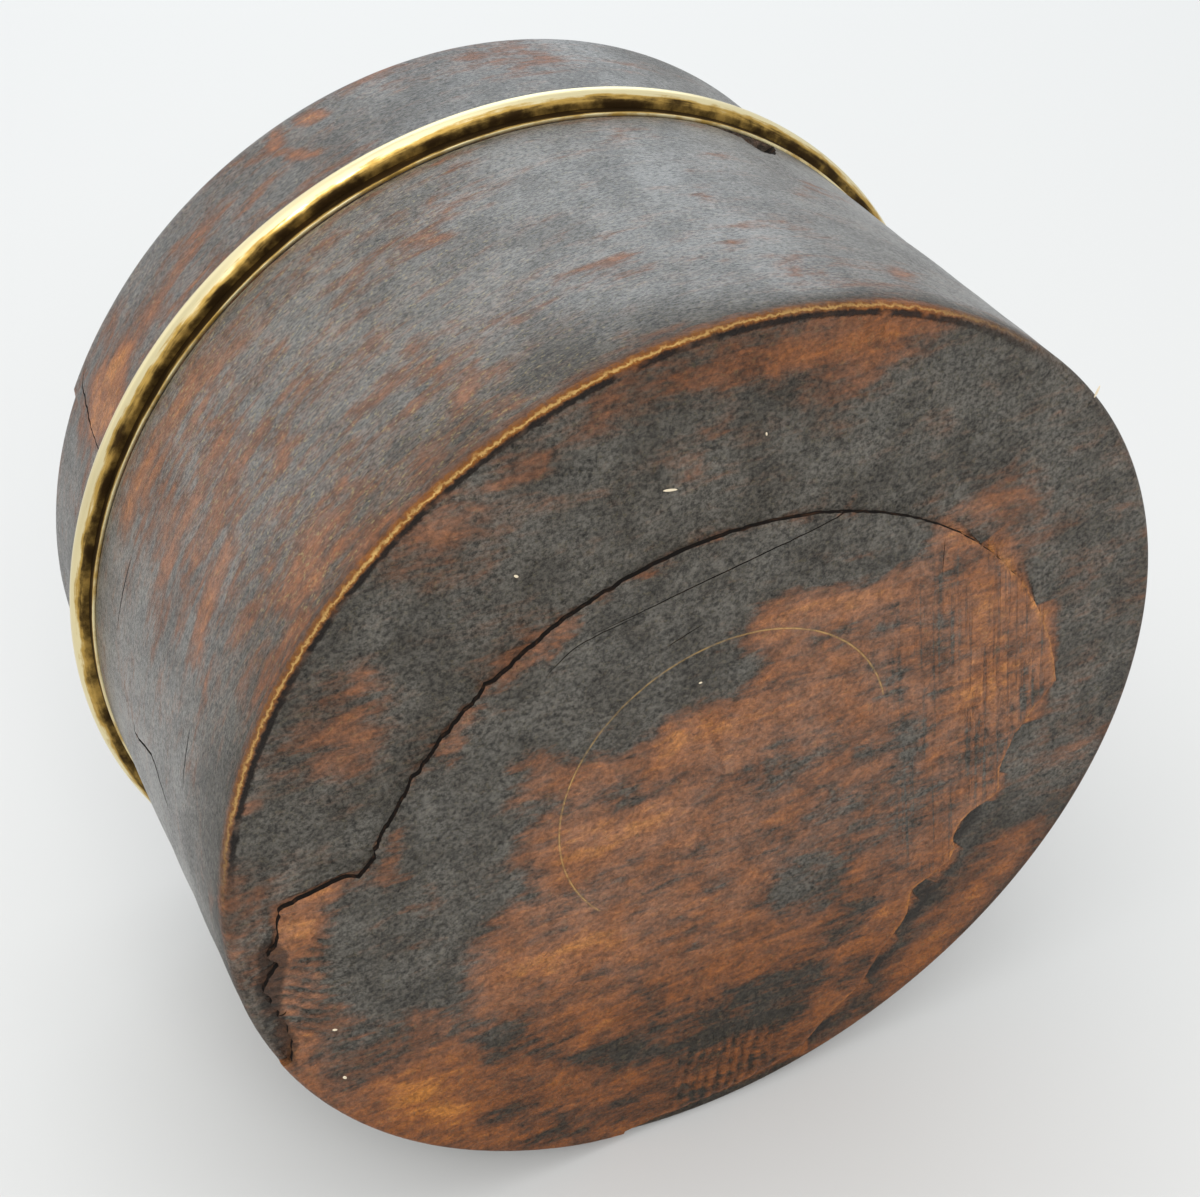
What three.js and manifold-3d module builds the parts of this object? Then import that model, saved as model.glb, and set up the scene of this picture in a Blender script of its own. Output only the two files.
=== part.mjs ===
// A turned wooden box with a lift-off lid and a brass band and bead round the lid's rim.
// Millimetres, +Z up, origin on the axis at the plane the base stands on.
import * as THREE from 'three';
import { mergeVertices } from 'three/addons/utils/BufferGeometryUtils.js';
import Module from 'manifold-3d';

const wasm = await Module();
wasm.setup();

// Facets round every turned piece, and divisions of each curved run
const SEGMENTS = 96;
const CURVE_STEPS = 3;
const FIELD_ARC_STEPS = 30;

// Body of the box, outside
const BASE_RADIUS = 88;
const MOUTH_RADIUS = 86.8;
const BODY_HEIGHT = 74;
const BASE_EDGE_ROUND = 1.2;
const SHOULDER_ROUND = 0.6;

// Body of the box, inside, and the spigot that the lid drops over
const FLOOR_THICKNESS = 12;
const BASE_WALL = 13;
const INNER_CORNER_ROUND = 6;
const SHOULDER_WIDTH = 6.9;
const SPIGOT_THICKNESS = 4;
const SPIGOT_HEIGHT = 9;
const SPIGOT_CHAMFER = 0.8;

// Lid
const LID_HEIGHT = 34.3;
const LID_OVERHANG = 0.4;
const LID_TAPER = 0.8;
const LID_TOP_ROUND = 2.5;
const LID_TOP_THICKNESS = 10;
const LID_CORNER_ROUND = 6;

// Brass: a flat band let into the lid's rim, and a half-round bead on it
const BAND_THICKNESS = 0.6;
const BAND_HEIGHT = 4.6;
const BEAD_RISE = 2.1;
const BEAD_HEIGHT = 4.2;
const BEAD_DEPTH = 2.5;

// Clearances
const SEAM_GAP = 0.3;
const SPIGOT_CLEARANCE = 0.4;
const SPIGOT_HEADROOM = 1;
const BRASS_GAP = 0.3;

// Raised field that the box stands on: a scribed arc, then two worked edges out to the rim,
// drawn on a base of the radius given first. The crescent outside it is cut back.
const FIELD_DRAWN_ON = 88;
const FIELD_RISE = 1.2;
const FIELD_CENTRE = [1, 18.1];
const FIELD_RADIUS = 68.8;
const FIELD_ARC_FROM = THREE.MathUtils.degToRad(-158);
const FIELD_ARC_TO = THREE.MathUtils.degToRad(-11);
const FIELD_RIGHT_EDGE = [
  [65.7, 8.5], [60.7, 16], [58.7, 23.4], [58.7, 28.7], [52.8, 31.6], [50.3, 35.7], [50.1, 42.1],
  [42.4, 46.9], [41.3, 53.7], [36, 61.7], [32.3, 68.4], [25, 72.5], [17.1, 80.4], [7.6, 82.3],
];
const FIELD_LEFT_EDGE = [
  [-80.3, 32.1], [-79.7, 27.1], [-81.9, 17.7], [-82.7, 11.8], [-80.3, 8.1], [-81.6, 5.7],
  [-80.1, 3.7], [-79.1, -1.6], [-77.9, -3.6], [-68.7, -5.6], [-65.4, -4.4],
];
const CUT_OVERSHOOT = 8;

// Chip broken out of the mouth's outer edge: distance round the wall, and depth below the shoulder
const CHIP_ANGLE = THREE.MathUtils.degToRad(-62);
const CHIP_OUTLINE = [
  [-9.4, 0], [-5.7, -1.6], [-2.4, -3], [-2.3, -6.8], [-0.9, -9.6], [2.8, -8.6], [5.7, -5], [8.7, 0],
];
const CHIP_DEPTH = 5.2;
const CHIP_INNER_SCALE = 0.55;

const wood = new THREE.MeshStandardMaterial({ color: 0x3b2018, roughness: 0.55, metalness: 0 });
const brass = new THREE.MeshStandardMaterial({ color: 0xb8964a, roughness: 0.35, metalness: 1 });

// Radii and heights that follow from the sizes above
const spigotRadius = MOUTH_RADIUS - SHOULDER_WIDTH;
const innerRadius = spigotRadius - SPIGOT_THICKNESS;
const spigotTop = BODY_HEIGHT + SPIGOT_HEIGHT;
const lidRimRadius = MOUTH_RADIUS + LID_OVERHANG;
const lidBottom = BODY_HEIGHT + SEAM_GAP;
const lidTop = lidBottom + LID_HEIGHT;
const bandTop = lidBottom + BAND_HEIGHT;
const bandInner = lidRimRadius - BAND_THICKNESS;
const wallFoot = FIELD_RISE + BASE_EDGE_ROUND;

// Turns a closed profile, drawn as radius and height, round the vertical axis.
function turn(profile) {
  const geometry = new THREE.LatheGeometry(profile.getPoints(CURVE_STEPS), SEGMENTS);
  geometry.rotateX(Math.PI / 2);
  return geometry;
}

// Merges shared vertices, drops triangles that have shrunk to a line and returns a solid.
function solidOf(geometry) {
  const bare = geometry.clone();
  bare.deleteAttribute('normal');
  bare.deleteAttribute('uv');
  const merged = mergeVertices(bare, 1e-4);
  const corners = merged.index.array;
  const kept = [];
  for (let i = 0; i < corners.length; i += 3) {
    const [a, b, c] = corners.slice(i, i + 3);
    if (a !== b && b !== c && c !== a) kept.push(a, b, c);
  }
  return new wasm.Manifold(new wasm.Mesh({
    numProp: 3,
    vertProperties: new Float32Array(merged.attributes.position.array),
    triVerts: new Uint32Array(kept),
  }));
}

function geometryOf(solid) {
  const mesh = solid.getMesh();
  const geometry = new THREE.BufferGeometry();
  geometry.setAttribute('position', new THREE.BufferAttribute(mesh.vertProperties, 3));
  geometry.setIndex(new THREE.BufferAttribute(mesh.triVerts, 1));
  geometry.computeVertexNormals();
  return geometry;
}

function addMesh(group, name, geometry, material) {
  const mesh = new THREE.Mesh(geometry, material.clone());
  mesh.name = name;
  group.add(mesh);
}

// The vessel's section above the cut-back crescent: underside, rounded base edge, wall, shoulder,
// spigot, bore and floor.
function bodyProfile() {
  const floorRadius = BASE_RADIUS - BASE_WALL;
  const edge = BASE_RADIUS - BASE_EDGE_ROUND;
  const corner = floorRadius - INNER_CORNER_ROUND;
  const profile = new THREE.Path();
  profile.moveTo(0, FIELD_RISE);
  profile.lineTo(edge, FIELD_RISE);
  profile.absarc(edge, wallFoot, BASE_EDGE_ROUND, -Math.PI / 2, 0, false);
  profile.lineTo(MOUTH_RADIUS, BODY_HEIGHT - SHOULDER_ROUND);
  profile.lineTo(MOUTH_RADIUS - SHOULDER_ROUND, BODY_HEIGHT);
  profile.lineTo(spigotRadius, BODY_HEIGHT);
  profile.lineTo(spigotRadius, spigotTop - SPIGOT_CHAMFER);
  profile.lineTo(spigotRadius - SPIGOT_CHAMFER, spigotTop);
  profile.lineTo(innerRadius, spigotTop);
  profile.lineTo(innerRadius, BODY_HEIGHT);
  profile.lineTo(floorRadius, FLOOR_THICKNESS + INNER_CORNER_ROUND);
  profile.absarc(corner, FLOOR_THICKNESS + INNER_CORNER_ROUND, INNER_CORNER_ROUND, 0, -Math.PI / 2, true);
  profile.lineTo(0, FLOOR_THICKNESS);
  return profile;
}

// A disc of the full base, from which the raised field is cut out.
function fieldProfile() {
  const edge = BASE_RADIUS - BASE_EDGE_ROUND;
  const profile = new THREE.Path();
  profile.moveTo(0, 0);
  profile.lineTo(edge, 0);
  profile.absarc(edge, BASE_EDGE_ROUND, BASE_EDGE_ROUND, -Math.PI / 2, 0, false);
  profile.lineTo(BASE_RADIUS, wallFoot);
  profile.lineTo(0, wallFoot);
  return profile;
}

// The raised field, which reaches the rim between its two worked edges.
function raisedField() {
  const scale = BASE_RADIUS / FIELD_DRAWN_ON;
  const rightEdge = FIELD_RIGHT_EDGE.map(([x, y]) => new THREE.Vector2(x, y).multiplyScalar(scale));
  const leftEdge = FIELD_LEFT_EDGE.map(([x, y]) => new THREE.Vector2(x, y).multiplyScalar(scale));
  const [centreX, centreY] = FIELD_CENTRE.map((value) => value * scale);
  const radius = FIELD_RADIUS * scale;
  const rimFrom = rightEdge[rightEdge.length - 1].angle();
  const rimTo = leftEdge[0].angle();
  const outsideRadius = BASE_RADIUS + CUT_OVERSHOOT;
  const scribed = new THREE.EllipseCurve(
    centreX, centreY, radius, radius, FIELD_ARC_FROM, FIELD_ARC_TO, false);
  const outside = new THREE.EllipseCurve(0, 0, outsideRadius, outsideRadius, rimFrom, rimTo, false);
  const outline = new THREE.Shape([
    ...scribed.getPoints(FIELD_ARC_STEPS),
    ...new THREE.SplineCurve(rightEdge).getPoints(CURVE_STEPS * rightEdge.length),
    ...outside.getPoints(FIELD_ARC_STEPS / 3),
    ...new THREE.SplineCurve(leftEdge).getPoints(CURVE_STEPS * leftEdge.length),
  ]);
  const depth = wallFoot + 2 * CUT_OVERSHOOT;
  const geometry = new THREE.ExtrudeGeometry(outline, { depth, bevelEnabled: false });
  geometry.translate(0, 0, -CUT_OVERSHOOT);
  return solidOf(turn(fieldProfile())).intersect(solidOf(geometry));
}

// The chip, wide at the wall's face and drawn in towards the shoulder as it goes inwards.
function chipCutter() {
  const outline = new THREE.Shape();
  const [first, ...rest] = CHIP_OUTLINE.map(([x, y]) => new THREE.Vector2(x, y));
  outline.moveTo(first.x, CUT_OVERSHOOT);
  outline.lineTo(first.x, first.y);
  outline.splineThru(rest);
  outline.lineTo(rest[rest.length - 1].x, CUT_OVERSHOOT);
  const depth = CHIP_DEPTH + CUT_OVERSHOOT;
  const geometry = new THREE.ExtrudeGeometry(outline, { depth, bevelEnabled: false, curveSegments: CURVE_STEPS });
  const position = geometry.attributes.position;
  for (let i = 0; i < position.count; i += 1) {
    if (position.getZ(i) > 0) continue;
    position.setX(i, position.getX(i) * CHIP_INNER_SCALE);
    position.setY(i, position.getY(i) < 0 ? position.getY(i) * CHIP_INNER_SCALE : position.getY(i));
  }
  geometry.rotateX(Math.PI / 2);
  geometry.rotateZ(Math.PI);
  geometry.translate(0, MOUTH_RADIUS - CHIP_DEPTH, BODY_HEIGHT);
  geometry.rotateZ(CHIP_ANGLE - Math.PI / 2);
  return solidOf(geometry);
}

function boxBody() {
  return geometryOf(solidOf(turn(bodyProfile())).add(raisedField()).subtract(chipCutter()));
}

// The lid's section: socket over the spigot, hollow, top, wall and the rebate for the band.
function lidProfile() {
  const socketRadius = spigotRadius + SPIGOT_CLEARANCE;
  const socketTop = spigotTop + SPIGOT_HEADROOM;
  const ceiling = lidTop - LID_TOP_THICKNESS;
  const round = Math.min(LID_CORNER_ROUND, (ceiling - socketTop) / 2);
  const topRadius = lidRimRadius - LID_TAPER;
  const rebateRadius = bandInner - BRASS_GAP;
  const rebateTop = bandTop + BRASS_GAP;
  const profile = new THREE.Path();
  profile.moveTo(0, ceiling);
  profile.lineTo(innerRadius - round, ceiling);
  profile.absarc(innerRadius - round, ceiling - round, round, Math.PI / 2, 0, true);
  profile.lineTo(innerRadius, socketTop);
  profile.lineTo(socketRadius, socketTop);
  profile.lineTo(socketRadius, lidBottom);
  profile.lineTo(rebateRadius, lidBottom);
  profile.lineTo(rebateRadius, rebateTop);
  profile.lineTo(lidRimRadius, rebateTop);
  profile.lineTo(topRadius, lidTop - LID_TOP_ROUND);
  profile.absarc(topRadius - LID_TOP_ROUND, lidTop - LID_TOP_ROUND, LID_TOP_ROUND, 0, Math.PI / 2, false);
  profile.lineTo(0, lidTop);
  return profile;
}

function bandProfile() {
  const profile = new THREE.Path();
  profile.moveTo(bandInner, lidBottom);
  profile.lineTo(lidRimRadius, lidBottom);
  profile.lineTo(lidRimRadius, bandTop);
  profile.lineTo(bandInner, bandTop);
  profile.lineTo(bandInner, lidBottom);
  return profile;
}

// Half-round wire: flat back towards the band, round face outwards.
function beadProfile() {
  const back = lidRimRadius + BRASS_GAP;
  const middle = lidBottom + BEAD_RISE + BEAD_HEIGHT / 2;
  const profile = new THREE.Path();
  profile.moveTo(back, middle - BEAD_HEIGHT / 2);
  profile.absellipse(back, middle, BEAD_DEPTH, BEAD_HEIGHT / 2, -Math.PI / 2, Math.PI / 2, false);
  profile.lineTo(back, middle - BEAD_HEIGHT / 2);
  return profile;
}

const box = new THREE.Group();
box.name = 'turned_box';
addMesh(box, 'box_body', boxBody(), wood);

const lid = new THREE.Group();
lid.name = 'lid_group';
addMesh(lid, 'lid', turn(lidProfile()), wood);
addMesh(lid, 'rim_band', turn(bandProfile()), brass);
addMesh(lid, 'rim_bead', turn(beadProfile()), brass);
box.add(lid);

export default box;
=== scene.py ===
"""Old round wooden box, seen from under its base: a turned body, a lid and the lid's brass edging."""

import math

import bmesh
import bpy
import numpy as np
from bpy.props import FloatProperty, FloatVectorProperty, PointerProperty
from mathutils import Matrix, Vector, noise


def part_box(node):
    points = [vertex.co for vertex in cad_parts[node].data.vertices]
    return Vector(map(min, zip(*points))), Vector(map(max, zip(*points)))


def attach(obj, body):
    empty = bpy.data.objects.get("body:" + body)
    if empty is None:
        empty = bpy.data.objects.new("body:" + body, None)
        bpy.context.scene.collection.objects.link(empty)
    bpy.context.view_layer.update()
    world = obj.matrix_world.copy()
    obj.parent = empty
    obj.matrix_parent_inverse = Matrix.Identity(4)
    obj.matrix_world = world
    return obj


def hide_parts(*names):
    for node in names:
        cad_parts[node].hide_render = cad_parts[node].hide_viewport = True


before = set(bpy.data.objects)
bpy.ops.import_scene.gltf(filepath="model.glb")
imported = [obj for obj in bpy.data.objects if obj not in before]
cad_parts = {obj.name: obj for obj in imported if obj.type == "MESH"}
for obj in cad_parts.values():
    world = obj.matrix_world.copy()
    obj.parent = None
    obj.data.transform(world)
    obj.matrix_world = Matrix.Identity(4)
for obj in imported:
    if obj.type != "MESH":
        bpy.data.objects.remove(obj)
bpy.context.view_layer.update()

bl_info = {
    "name": "Turned Wooden Box",
    "version": (1, 1, 0),
    "blender": (4, 5, 0),
    "location": "3D View > Sidebar > Turned Box",
    "description": "Builds an old turned box of wood, its lid and its brass edging around a packed frame",
    "category": "Object",
}

MM = 0.001

# Sizes in millimetres, read from the frame so that each piece stays where its node is
BASE_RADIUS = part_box("box_body")[1][0] / MM
SPIGOT_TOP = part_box("box_body")[1][2] / MM
LID_BOTTOM, LID_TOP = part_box("lid")[0][2] / MM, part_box("lid")[1][2] / MM
LID_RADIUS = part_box("lid")[1][0] / MM
BAND_BOTTOM, BAND_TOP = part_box("rim_band")[0][2] / MM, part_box("rim_band")[1][2] / MM
BEAD_BOTTOM, BEAD_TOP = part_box("rim_bead")[0][2] / MM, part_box("rim_bead")[1][2] / MM
BEAD_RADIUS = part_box("rim_bead")[1][0] / MM

# Fits and thicknesses in millimetres
SEAM_GAP = 0.3
LID_OVERHANG = 0.4
LID_DRAWN_IN = 0.8
SHOULDER_WIDTH = 6.9
SPIGOT_WALL = 4
SPIGOT_CLEARANCE = 0.4
SOCKET_ROOM = 1
LID_THICKNESS = 10
FLOOR_HEIGHT = 12
FLOOR_INSET = 13
BAND_REBATE = 0.65
BAND_THICKNESS = 0.6
BEAD_SEAT = 0.1

BODY_HEIGHT = LID_BOTTOM - SEAM_GAP
MOUTH_RADIUS = LID_RADIUS - LID_OVERHANG
LID_TOP_RADIUS = LID_RADIUS - LID_DRAWN_IN
SPIGOT_RADIUS = MOUTH_RADIUS - SHOULDER_WIDTH
BORE_RADIUS = SPIGOT_RADIUS - SPIGOT_WALL
FLOOR_RADIUS = BASE_RADIUS - FLOOR_INSET

# Roundings of corners, as size and number of segments
BASE_ROUNDING = (1.3, 5)
MOUTH_ROUNDING = (0.6, 3)
SPIGOT_ROUNDING = (0.8, 2)
BORE_ROUNDING = (0.5, 2)
FLOOR_ROUNDING = (6, 6)
CEILING_ROUNDING = (5.5, 6)
LID_TOP_ROUNDING = (2.5, 6)
BAND_ROUNDING = (0.15, 2)

# Longest edge in millimetres that a turned surface with fine detail is given
FINE_EDGE = 1.3
SPIN_STEPS = 360
SHARP_ANGLE = math.radians(35)
# Below this height a place belongs to the base, and above it to the wall
BASE_ZONE = 3.2
# How far cutting shapes reach out of the wood
OUTSIDE = 5
# How far the field's slab reaches up into the base, and how far it stays within the base's rim
FIELD_ROOT = 1.2
FIELD_INSET = 0.02
# The slab's centre and size in millimetres, and its cells
SLAB = ((-8, 19), (164, 150), 0.64)

# Outline of the raised field on the base: an arc struck from one centre, and two worked ends
FIELD_CENTRE = (1, 18.1)
FIELD_RADIUS = 68.8
FIELD_ARC = (-158, -11)
FIELD_RIGHT = (
    (65.7, 8.5), (60.7, 16), (58.7, 23.4), (58.7, 28.7), (52.8, 31.6), (50.3, 35.7), (50.1, 42.1),
    (42.4, 46.9), (41.3, 53.7), (36, 61.7), (32.3, 68.4), (26, 73.5), (20.5, 79.2), (13, 82.4), (4, 83.8),
    (-4, 84.6), (-12, 85.1), (-19, 85.4),
)
FIELD_LEFT = (
    (-80.3, 32.1), (-79.7, 27.1), (-81.9, 17.7), (-82.7, 11.8), (-80.3, 8.1), (-81.6, 5.7),
    (-80.1, 3.7), (-79.1, -1.6), (-77.9, -3.6), (-68.7, -5.6), (-65.4, -4.4),
)

# Where the field is worn down at its end by the rim: how deep, centre and reach
FIELD_SUNK = (0.9, (-16, 88), 12)

# Tool marks on the field: centre, half length and half width, direction, pitch, depth
TOOL_MARKS = (
    ((-76.5, 17), (7, 15), 28, 2.1, 0.55),
    ((47, 8), (26, 8), 84, 1.9, 0.16),
    ((58, 8), (22, 8), 80, 2.5, 0.30),
    ((3, 76), (12, 13), 98, 2.4, 0.42),
)

# Where the old polish is still dark on the field; elsewhere it has worn to warm wood
FIELD_DARK = (
    ((-64.6, -3.9), (-58.6, -17.8), (-50.7, -27.6), (-40.7, -36.5), (-30.8, -43.4), (-20.8, -47.3),
     (-8.9, -50.6), (3.1, -51.8), (15, -50.4), (26, -47.3), (34, -43.8), (39, -40), (36, -35), (29, -33.5),
     (26, -32.9), (21, -34.9), (17, -33.9), (11.1, -34), (4.1, -33.1), (-0.9, -28.1), (2.1, -26.1),
     (6.1, -22.1), (3.1, -19.1), (1.1, -16.2), (0.1, -13.2), (-2.9, -17.2), (-6.9, -16.2),
     (-10.9, -17.3), (-14.8, -14.3), (-20.8, -12.4), (-27.8, -13.5), (-30.8, -17.5), (-35.8, -19.5),
     (-38.7, -17.6), (-36.8, -14.6), (-39.7, -11.6), (-42.7, -8.6), (-38.7, -6.6), (-33.8, -7.6),
     (-29.8, -5.5), (-33.8, -4.6), (-37.7, -2.6), (-39.7, 3.3), (-35, 9), (-36, 13), (-38.7, 13.3),
     (-44.7, 17.2), (-48.7, 20.2), (-49.7, 25.1), (-47.7, 31.1), (-52.7, 33.1), (-58.6, 30), (-63.6, 30),
     (-69.6, 24.9), (-71.5, 12.9), (-71.5, 6), (-70.5, 0), (-66.6, -2.9)),
)
# Half-dark haze on the field, with its outline and how much warm wood still shows
FIELD_HALF = (
    (0.33, ((35.1, 2.1), (38.1, 0.2), (40.1, 4.2), (41.1, 10.2), (39.1, 15.2), (35.1, 13.1), (33.1, 8.1))),
    (0.34, ((43.1, -9.7), (47.1, -8.7), (45.1, -4.7), (41.1, -0.8), (40.1, -3.8))),
    (0.38, ((31.1, -9.9), (34.1, -9.8), (34.1, -4.9), (31.1, -4.9))),
    (0.33, ((-18.8, -6.4), (-16.8, -4.4), (-17.8, -0.4), (-19.8, 2.6), (-21.8, -1.5), (-20.8, -5.4))),
    (0.37, ((-18, 60), (-0.9, 60.7), (5.1, 58.7), (12.1, 58.8), (19, 61), (14.1, 65.9), (4.1, 66.7),
            (-8, 63.7))),
    (0.33, ((-49.7, 41.1), (-42.7, 39.2), (-36.8, 41.2), (-36.8, 48.2), (-42.7, 49.2), (-48.7, 46.1))),
    (0.40, ((-39, 50), (-33, 49), (-27, 50), (-28.8, 56.3), (-36, 56.2))),
    (0.38, ((24.1, 50), (28.1, 46), (33.1, 46.1), (32.1, 51.1), (27.1, 53), (24.1, 53))),
    (0.38, ((-16.3, 43.5), (-12.8, 44.5), (-12.3, 50.5), (-15.8, 49.5))),
    (0.40, ((9, 33.5), (12, 29.5), (17, 29), (24, 31), (27, 34), (25, 38.5), (19, 41.5), (12, 38))),
    (0.45, ((-78, 22), (-66, 24), (-50, 30), (-49, 37), (-58, 42), (-70, 41), (-78, 34))),
    (0.4, ((-30, 57), (-10, 54), (12, 55), (24, 58), (20, 70), (0, 71), (-20, 66))),
    (0.45, ((40, -14), (52, -12), (58, -6), (50, -2), (42, 0), (40, -8))),
    (0.42, ((-48, -38), (-25, -41), (-18, -35), (-28, -30), (-38, -32))),
)
# Worn spots within the dark part of the field
FIELD_WORN = (
    ((-79, -3), (-74, -6), (-69, -6), (-70, -2.5), (-73, -1.5), (-73, 5), (-77, 5), (-79, 0)),
    ((-65, -3), (-60, -12.5), (-58, -14.5), (-57.2, -8), (-58, -1.5), (-62, -0.5)),
    ((-42, -36.5), (-36, -40.5), (-27.5, -44), (-28.5, -40.5), (-36, -37), (-41, -34.5)),
    ((-51.5, -27.5), (-48, -27), (-47.5, -23), (-50, -22.5)),
)
# Worn patches on the crescent, with how far each is worn
CRESCENT_WORN = (
    (0.62, ((2.8, -86), (24.8, -84.8), (37.9, -80.7), (33.9, -75.7), (26.8, -75.8), (22.8, -72.8),
            (17.8, -73.9), (9.8, -75.9), (2.8, -78), (-8.2, -80.1), (-20.2, -78.2), (-32.2, -76.3),
            (-30.2, -82.3), (-15.2, -86.1))),
    (0.5, ((-62.2, -64.5), (-50.2, -74.4), (-38.2, -78.3), (-30.2, -80.3), (-31.2, -72.3),
            (-32.2, -66.3), (-38.2, -62.3), (-46.2, -58.4), (-56.2, -56.5), (-60.2, -60.5))),
    (0.46, ((-14.2, -68.1), (-6.2, -70.1), (-0.2, -68), (-3.2, -65.1), (-10.2, -63.1), (-14.2, -65.1))),
    (0.5, ((-70.2, -47.7), (-62.2, -46.6), (-56.2, -40.5), (-58.2, -30.6), (-60.2, -24.6),
            (-62.2, -20.6), (-67.2, -20.7), (-72.2, -26.7), (-74.2, -34.7), (-72.1, -42.7))),
    (0.56, ((39, -45), (50, -44.6), (58, -39.5), (63.1, -34.4), (65.1, -30.4), (61.1, -25.4),
            (58, -27.4), (52, -33.5), (46, -38.6), (41.9, -41.6))),
    (0.52, ((36.9, -59.7), (40.9, -58.7), (39.9, -53.7), (35.9, -54.7))),
    (0.52, ((68.2, 4.8), (73.2, 3.8), (74.2, 10.9), (71.2, 15.9), (68.2, 12.8))),
    (0.46, ((66.1, -21.3), (72.1, -21.3), (72.1, -17.3), (66.1, -17.3))),
    (0.47, ((74.2, 21), (81.3, 23), (81.3, 33.1), (73.3, 36))),
    (0.46, ((62.1, 18.8), (68.2, 18.9), (68.2, 25), (63.1, 25.9))),
    (0.62, ((54, 52.9), (62, 42), (75.3, 38.1), (67.2, 56), (50.1, 74.9), (30, 84.8), (18.9, 86.6),
            (22, 79.6), (33, 75.7), (39, 68.7), (44.1, 60.8), (50.1, 55.8))),
    (0.46, ((-88, -25), (-83, -25), (-83, 0), (-84.5, 20), (-88, 22))),
)
# Broad changes of tone on the field: how much, centre and reach
FIELD_TONES = (
    (0.07, (-28, 29), (15, 7)), (0.05, (20, -30), (14, 5)), (0.05, (-12, -10), (14, 8)),
    (0.05, (-15, 8), (14, 6)), (0.03, (-10, 46), (40, 8)), (-0.05, (16, 62), (42, 7)),
    (-0.06, (34, 24), (16, 14)), (0.05, (-58, 52), (12, 10)), (-0.05, (5, 20), (30, 5)),
    (0.04, (54, -8), (8, 14)), (-0.04, (12, 1), (12, 6)), (0.04, (30, 75), (16, 8)),
    (-0.07, (-66, 22), (10, 12)), (-0.07, (-20, 80), (36, 14)), (0.10, (50, 0), (14, 22)),
    (0.05, (28, 72), (18, 9)),
)
# The dark ring round a knot in the field
KNOT_CENTRE = (18.5, 35.5)
KNOT_RADIUS = 7
# Painted reflection haze on the base against the distance along Y, and where there is less: how much,
# centre, reach
REFLECTION_HAZE_LEVELS = ((26, 50, 76), (0.100, 0.036, 0.019))
REFLECTION_HAZE_CLEAR = ((0.062, (8, -80), (34, 9)), (0.02, (-66, -35), (12, 14)))
# Places rubbed to pale golden wood
GOLDEN = (
    (0.7, ((-40.7, 22.3), (-20.8, 24.5), (-20.8, 34.5), (-40.7, 34.2), (-47, 27))),
    (0.6, ((-12.9, -16.3), (-0.9, -16.2), (3, -11), (-0.9, -6.2), (-12.9, -6.3))),
    (0.6, ((4.1, -31), (12, -33), (29, -31.8), (29, -27.9), (9.1, -28))),
    (0.45, ((-30.8, 3.4), (-5.9, 3.7), (-5.9, 10.7), (-30.8, 10.4))),
    (1.0, ((-66, 45), (-60, 44), (-56, 50), (-58, 55), (-63, 51))),
    (0.9, ((-57, 57), (-53, 58), (-45, 70), (-40, 75), (-48, 73))),
    (0.8, ((-41, -20), (-37, -18), (-33, -15), (-36, -14), (-40, -16.5))),
    (0.9, ((-79, -3), (-73, -6), (-70, -5), (-74, -2.5), (-75, 4), (-78, 1))),
    (0.5, ((-66, -35), (-60, -34), (-60, -27), (-66, -27))),
    (0.7, ((6, -86), (30, -83), (34, -77), (24, -75), (6, -79))),
)
# Painted shade in the angle at the foot of the step, and grime in the torn left edge
GRIME_AND_SHADE = (
    (1.0, ((-78, 5), (-81.5, 2), (-84.5, 6), (-84, 20), (-82, 30), (-79.5, 34), (-78.8, 27), (-80.5, 16))),
    (0.9, ((58, 24), (64, 25), (60, 32), (55, 36), (54, 43), (50, 49), (44, 55), (42, 61), (36, 70),
           (28, 76), (20, 82), (17, 80), (25, 72), (32, 68), (36, 61.5), (41, 53.5), (42.5, 46.5),
           (50, 42), (50.3, 35.5), (53, 31.5), (58.7, 28.5))),
)

# Streaks on the wall: from and to, as distance round and height, with half width and how far worn
WALL_STREAKS = (
    (-241, 27, -221, 32, 1.5, 0.85), (-234, 31, -226, 32, 1.0, 0.94), (-207.5, 32.5, -204, 37, 1.1, 0.66),
    (-221, 36, -216, 39, 1.4, 0.55), (-214, 40, -204, 42, 1.0, 0.47), (-216, 22, -206, 25, 1.0, 0.63),
    (-235, 11, -207, 9.5, 1.8, 0.58), (-232, 5, -212, 3, 1.8, 0.66), (-231, 17, -221, 16, 1.2, 0.56),
    (-216, 15, -202, 18, 1.3, 0.56), (-203, 2, -190, 1, 1.5, 0.6), (-239, 47, -214, 49, 1.5, 0.55),
    (-232, 52, -226, 54, 1.2, 0.51), (-219, 53, -207, 54, 1.4, 0.53), (-242, 66, -213, 68, 2.2, 0.63),
    (-189, 65, -177, 69, 1.9, 0.65), (-192, 27, -173, 30, 1.8, 0.58), (-173, 31, -158, 31, 1.5, 0.55),
    (-156, 27, -144, 27, 1.3, 0.52), (-171, 56, -164, 51, 1.0, 0.57), (-181, 13, -174, 19, 1.4, 0.58),
    (-204, 62, -196, 64, 1.3, 0.5), (-139, 34, -133, 39, 1.0, 0.48), (-131, 46, -123, 39, 1.5, 0.5),
    (-129, 21, -127, 24, 0.8, 0.55), (-104, 42, -92, 54, 1.6, 0.51), (-126, 9, -120, 16, 1.0, 0.48),
    (-104, 10, -98, 20, 2.0, 0.46), (-260, 34, -248, 38, 1.4, 0.47), (-214, 72, -150, 72.6, 0.9, 0.51),
    (-200, 40, -192, 44, 1.2, 0.47), (-184, 42, -180, 44, 1.0, 0.51), (-196, 23, -192, 29, 1.2, 0.51),
)
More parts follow.
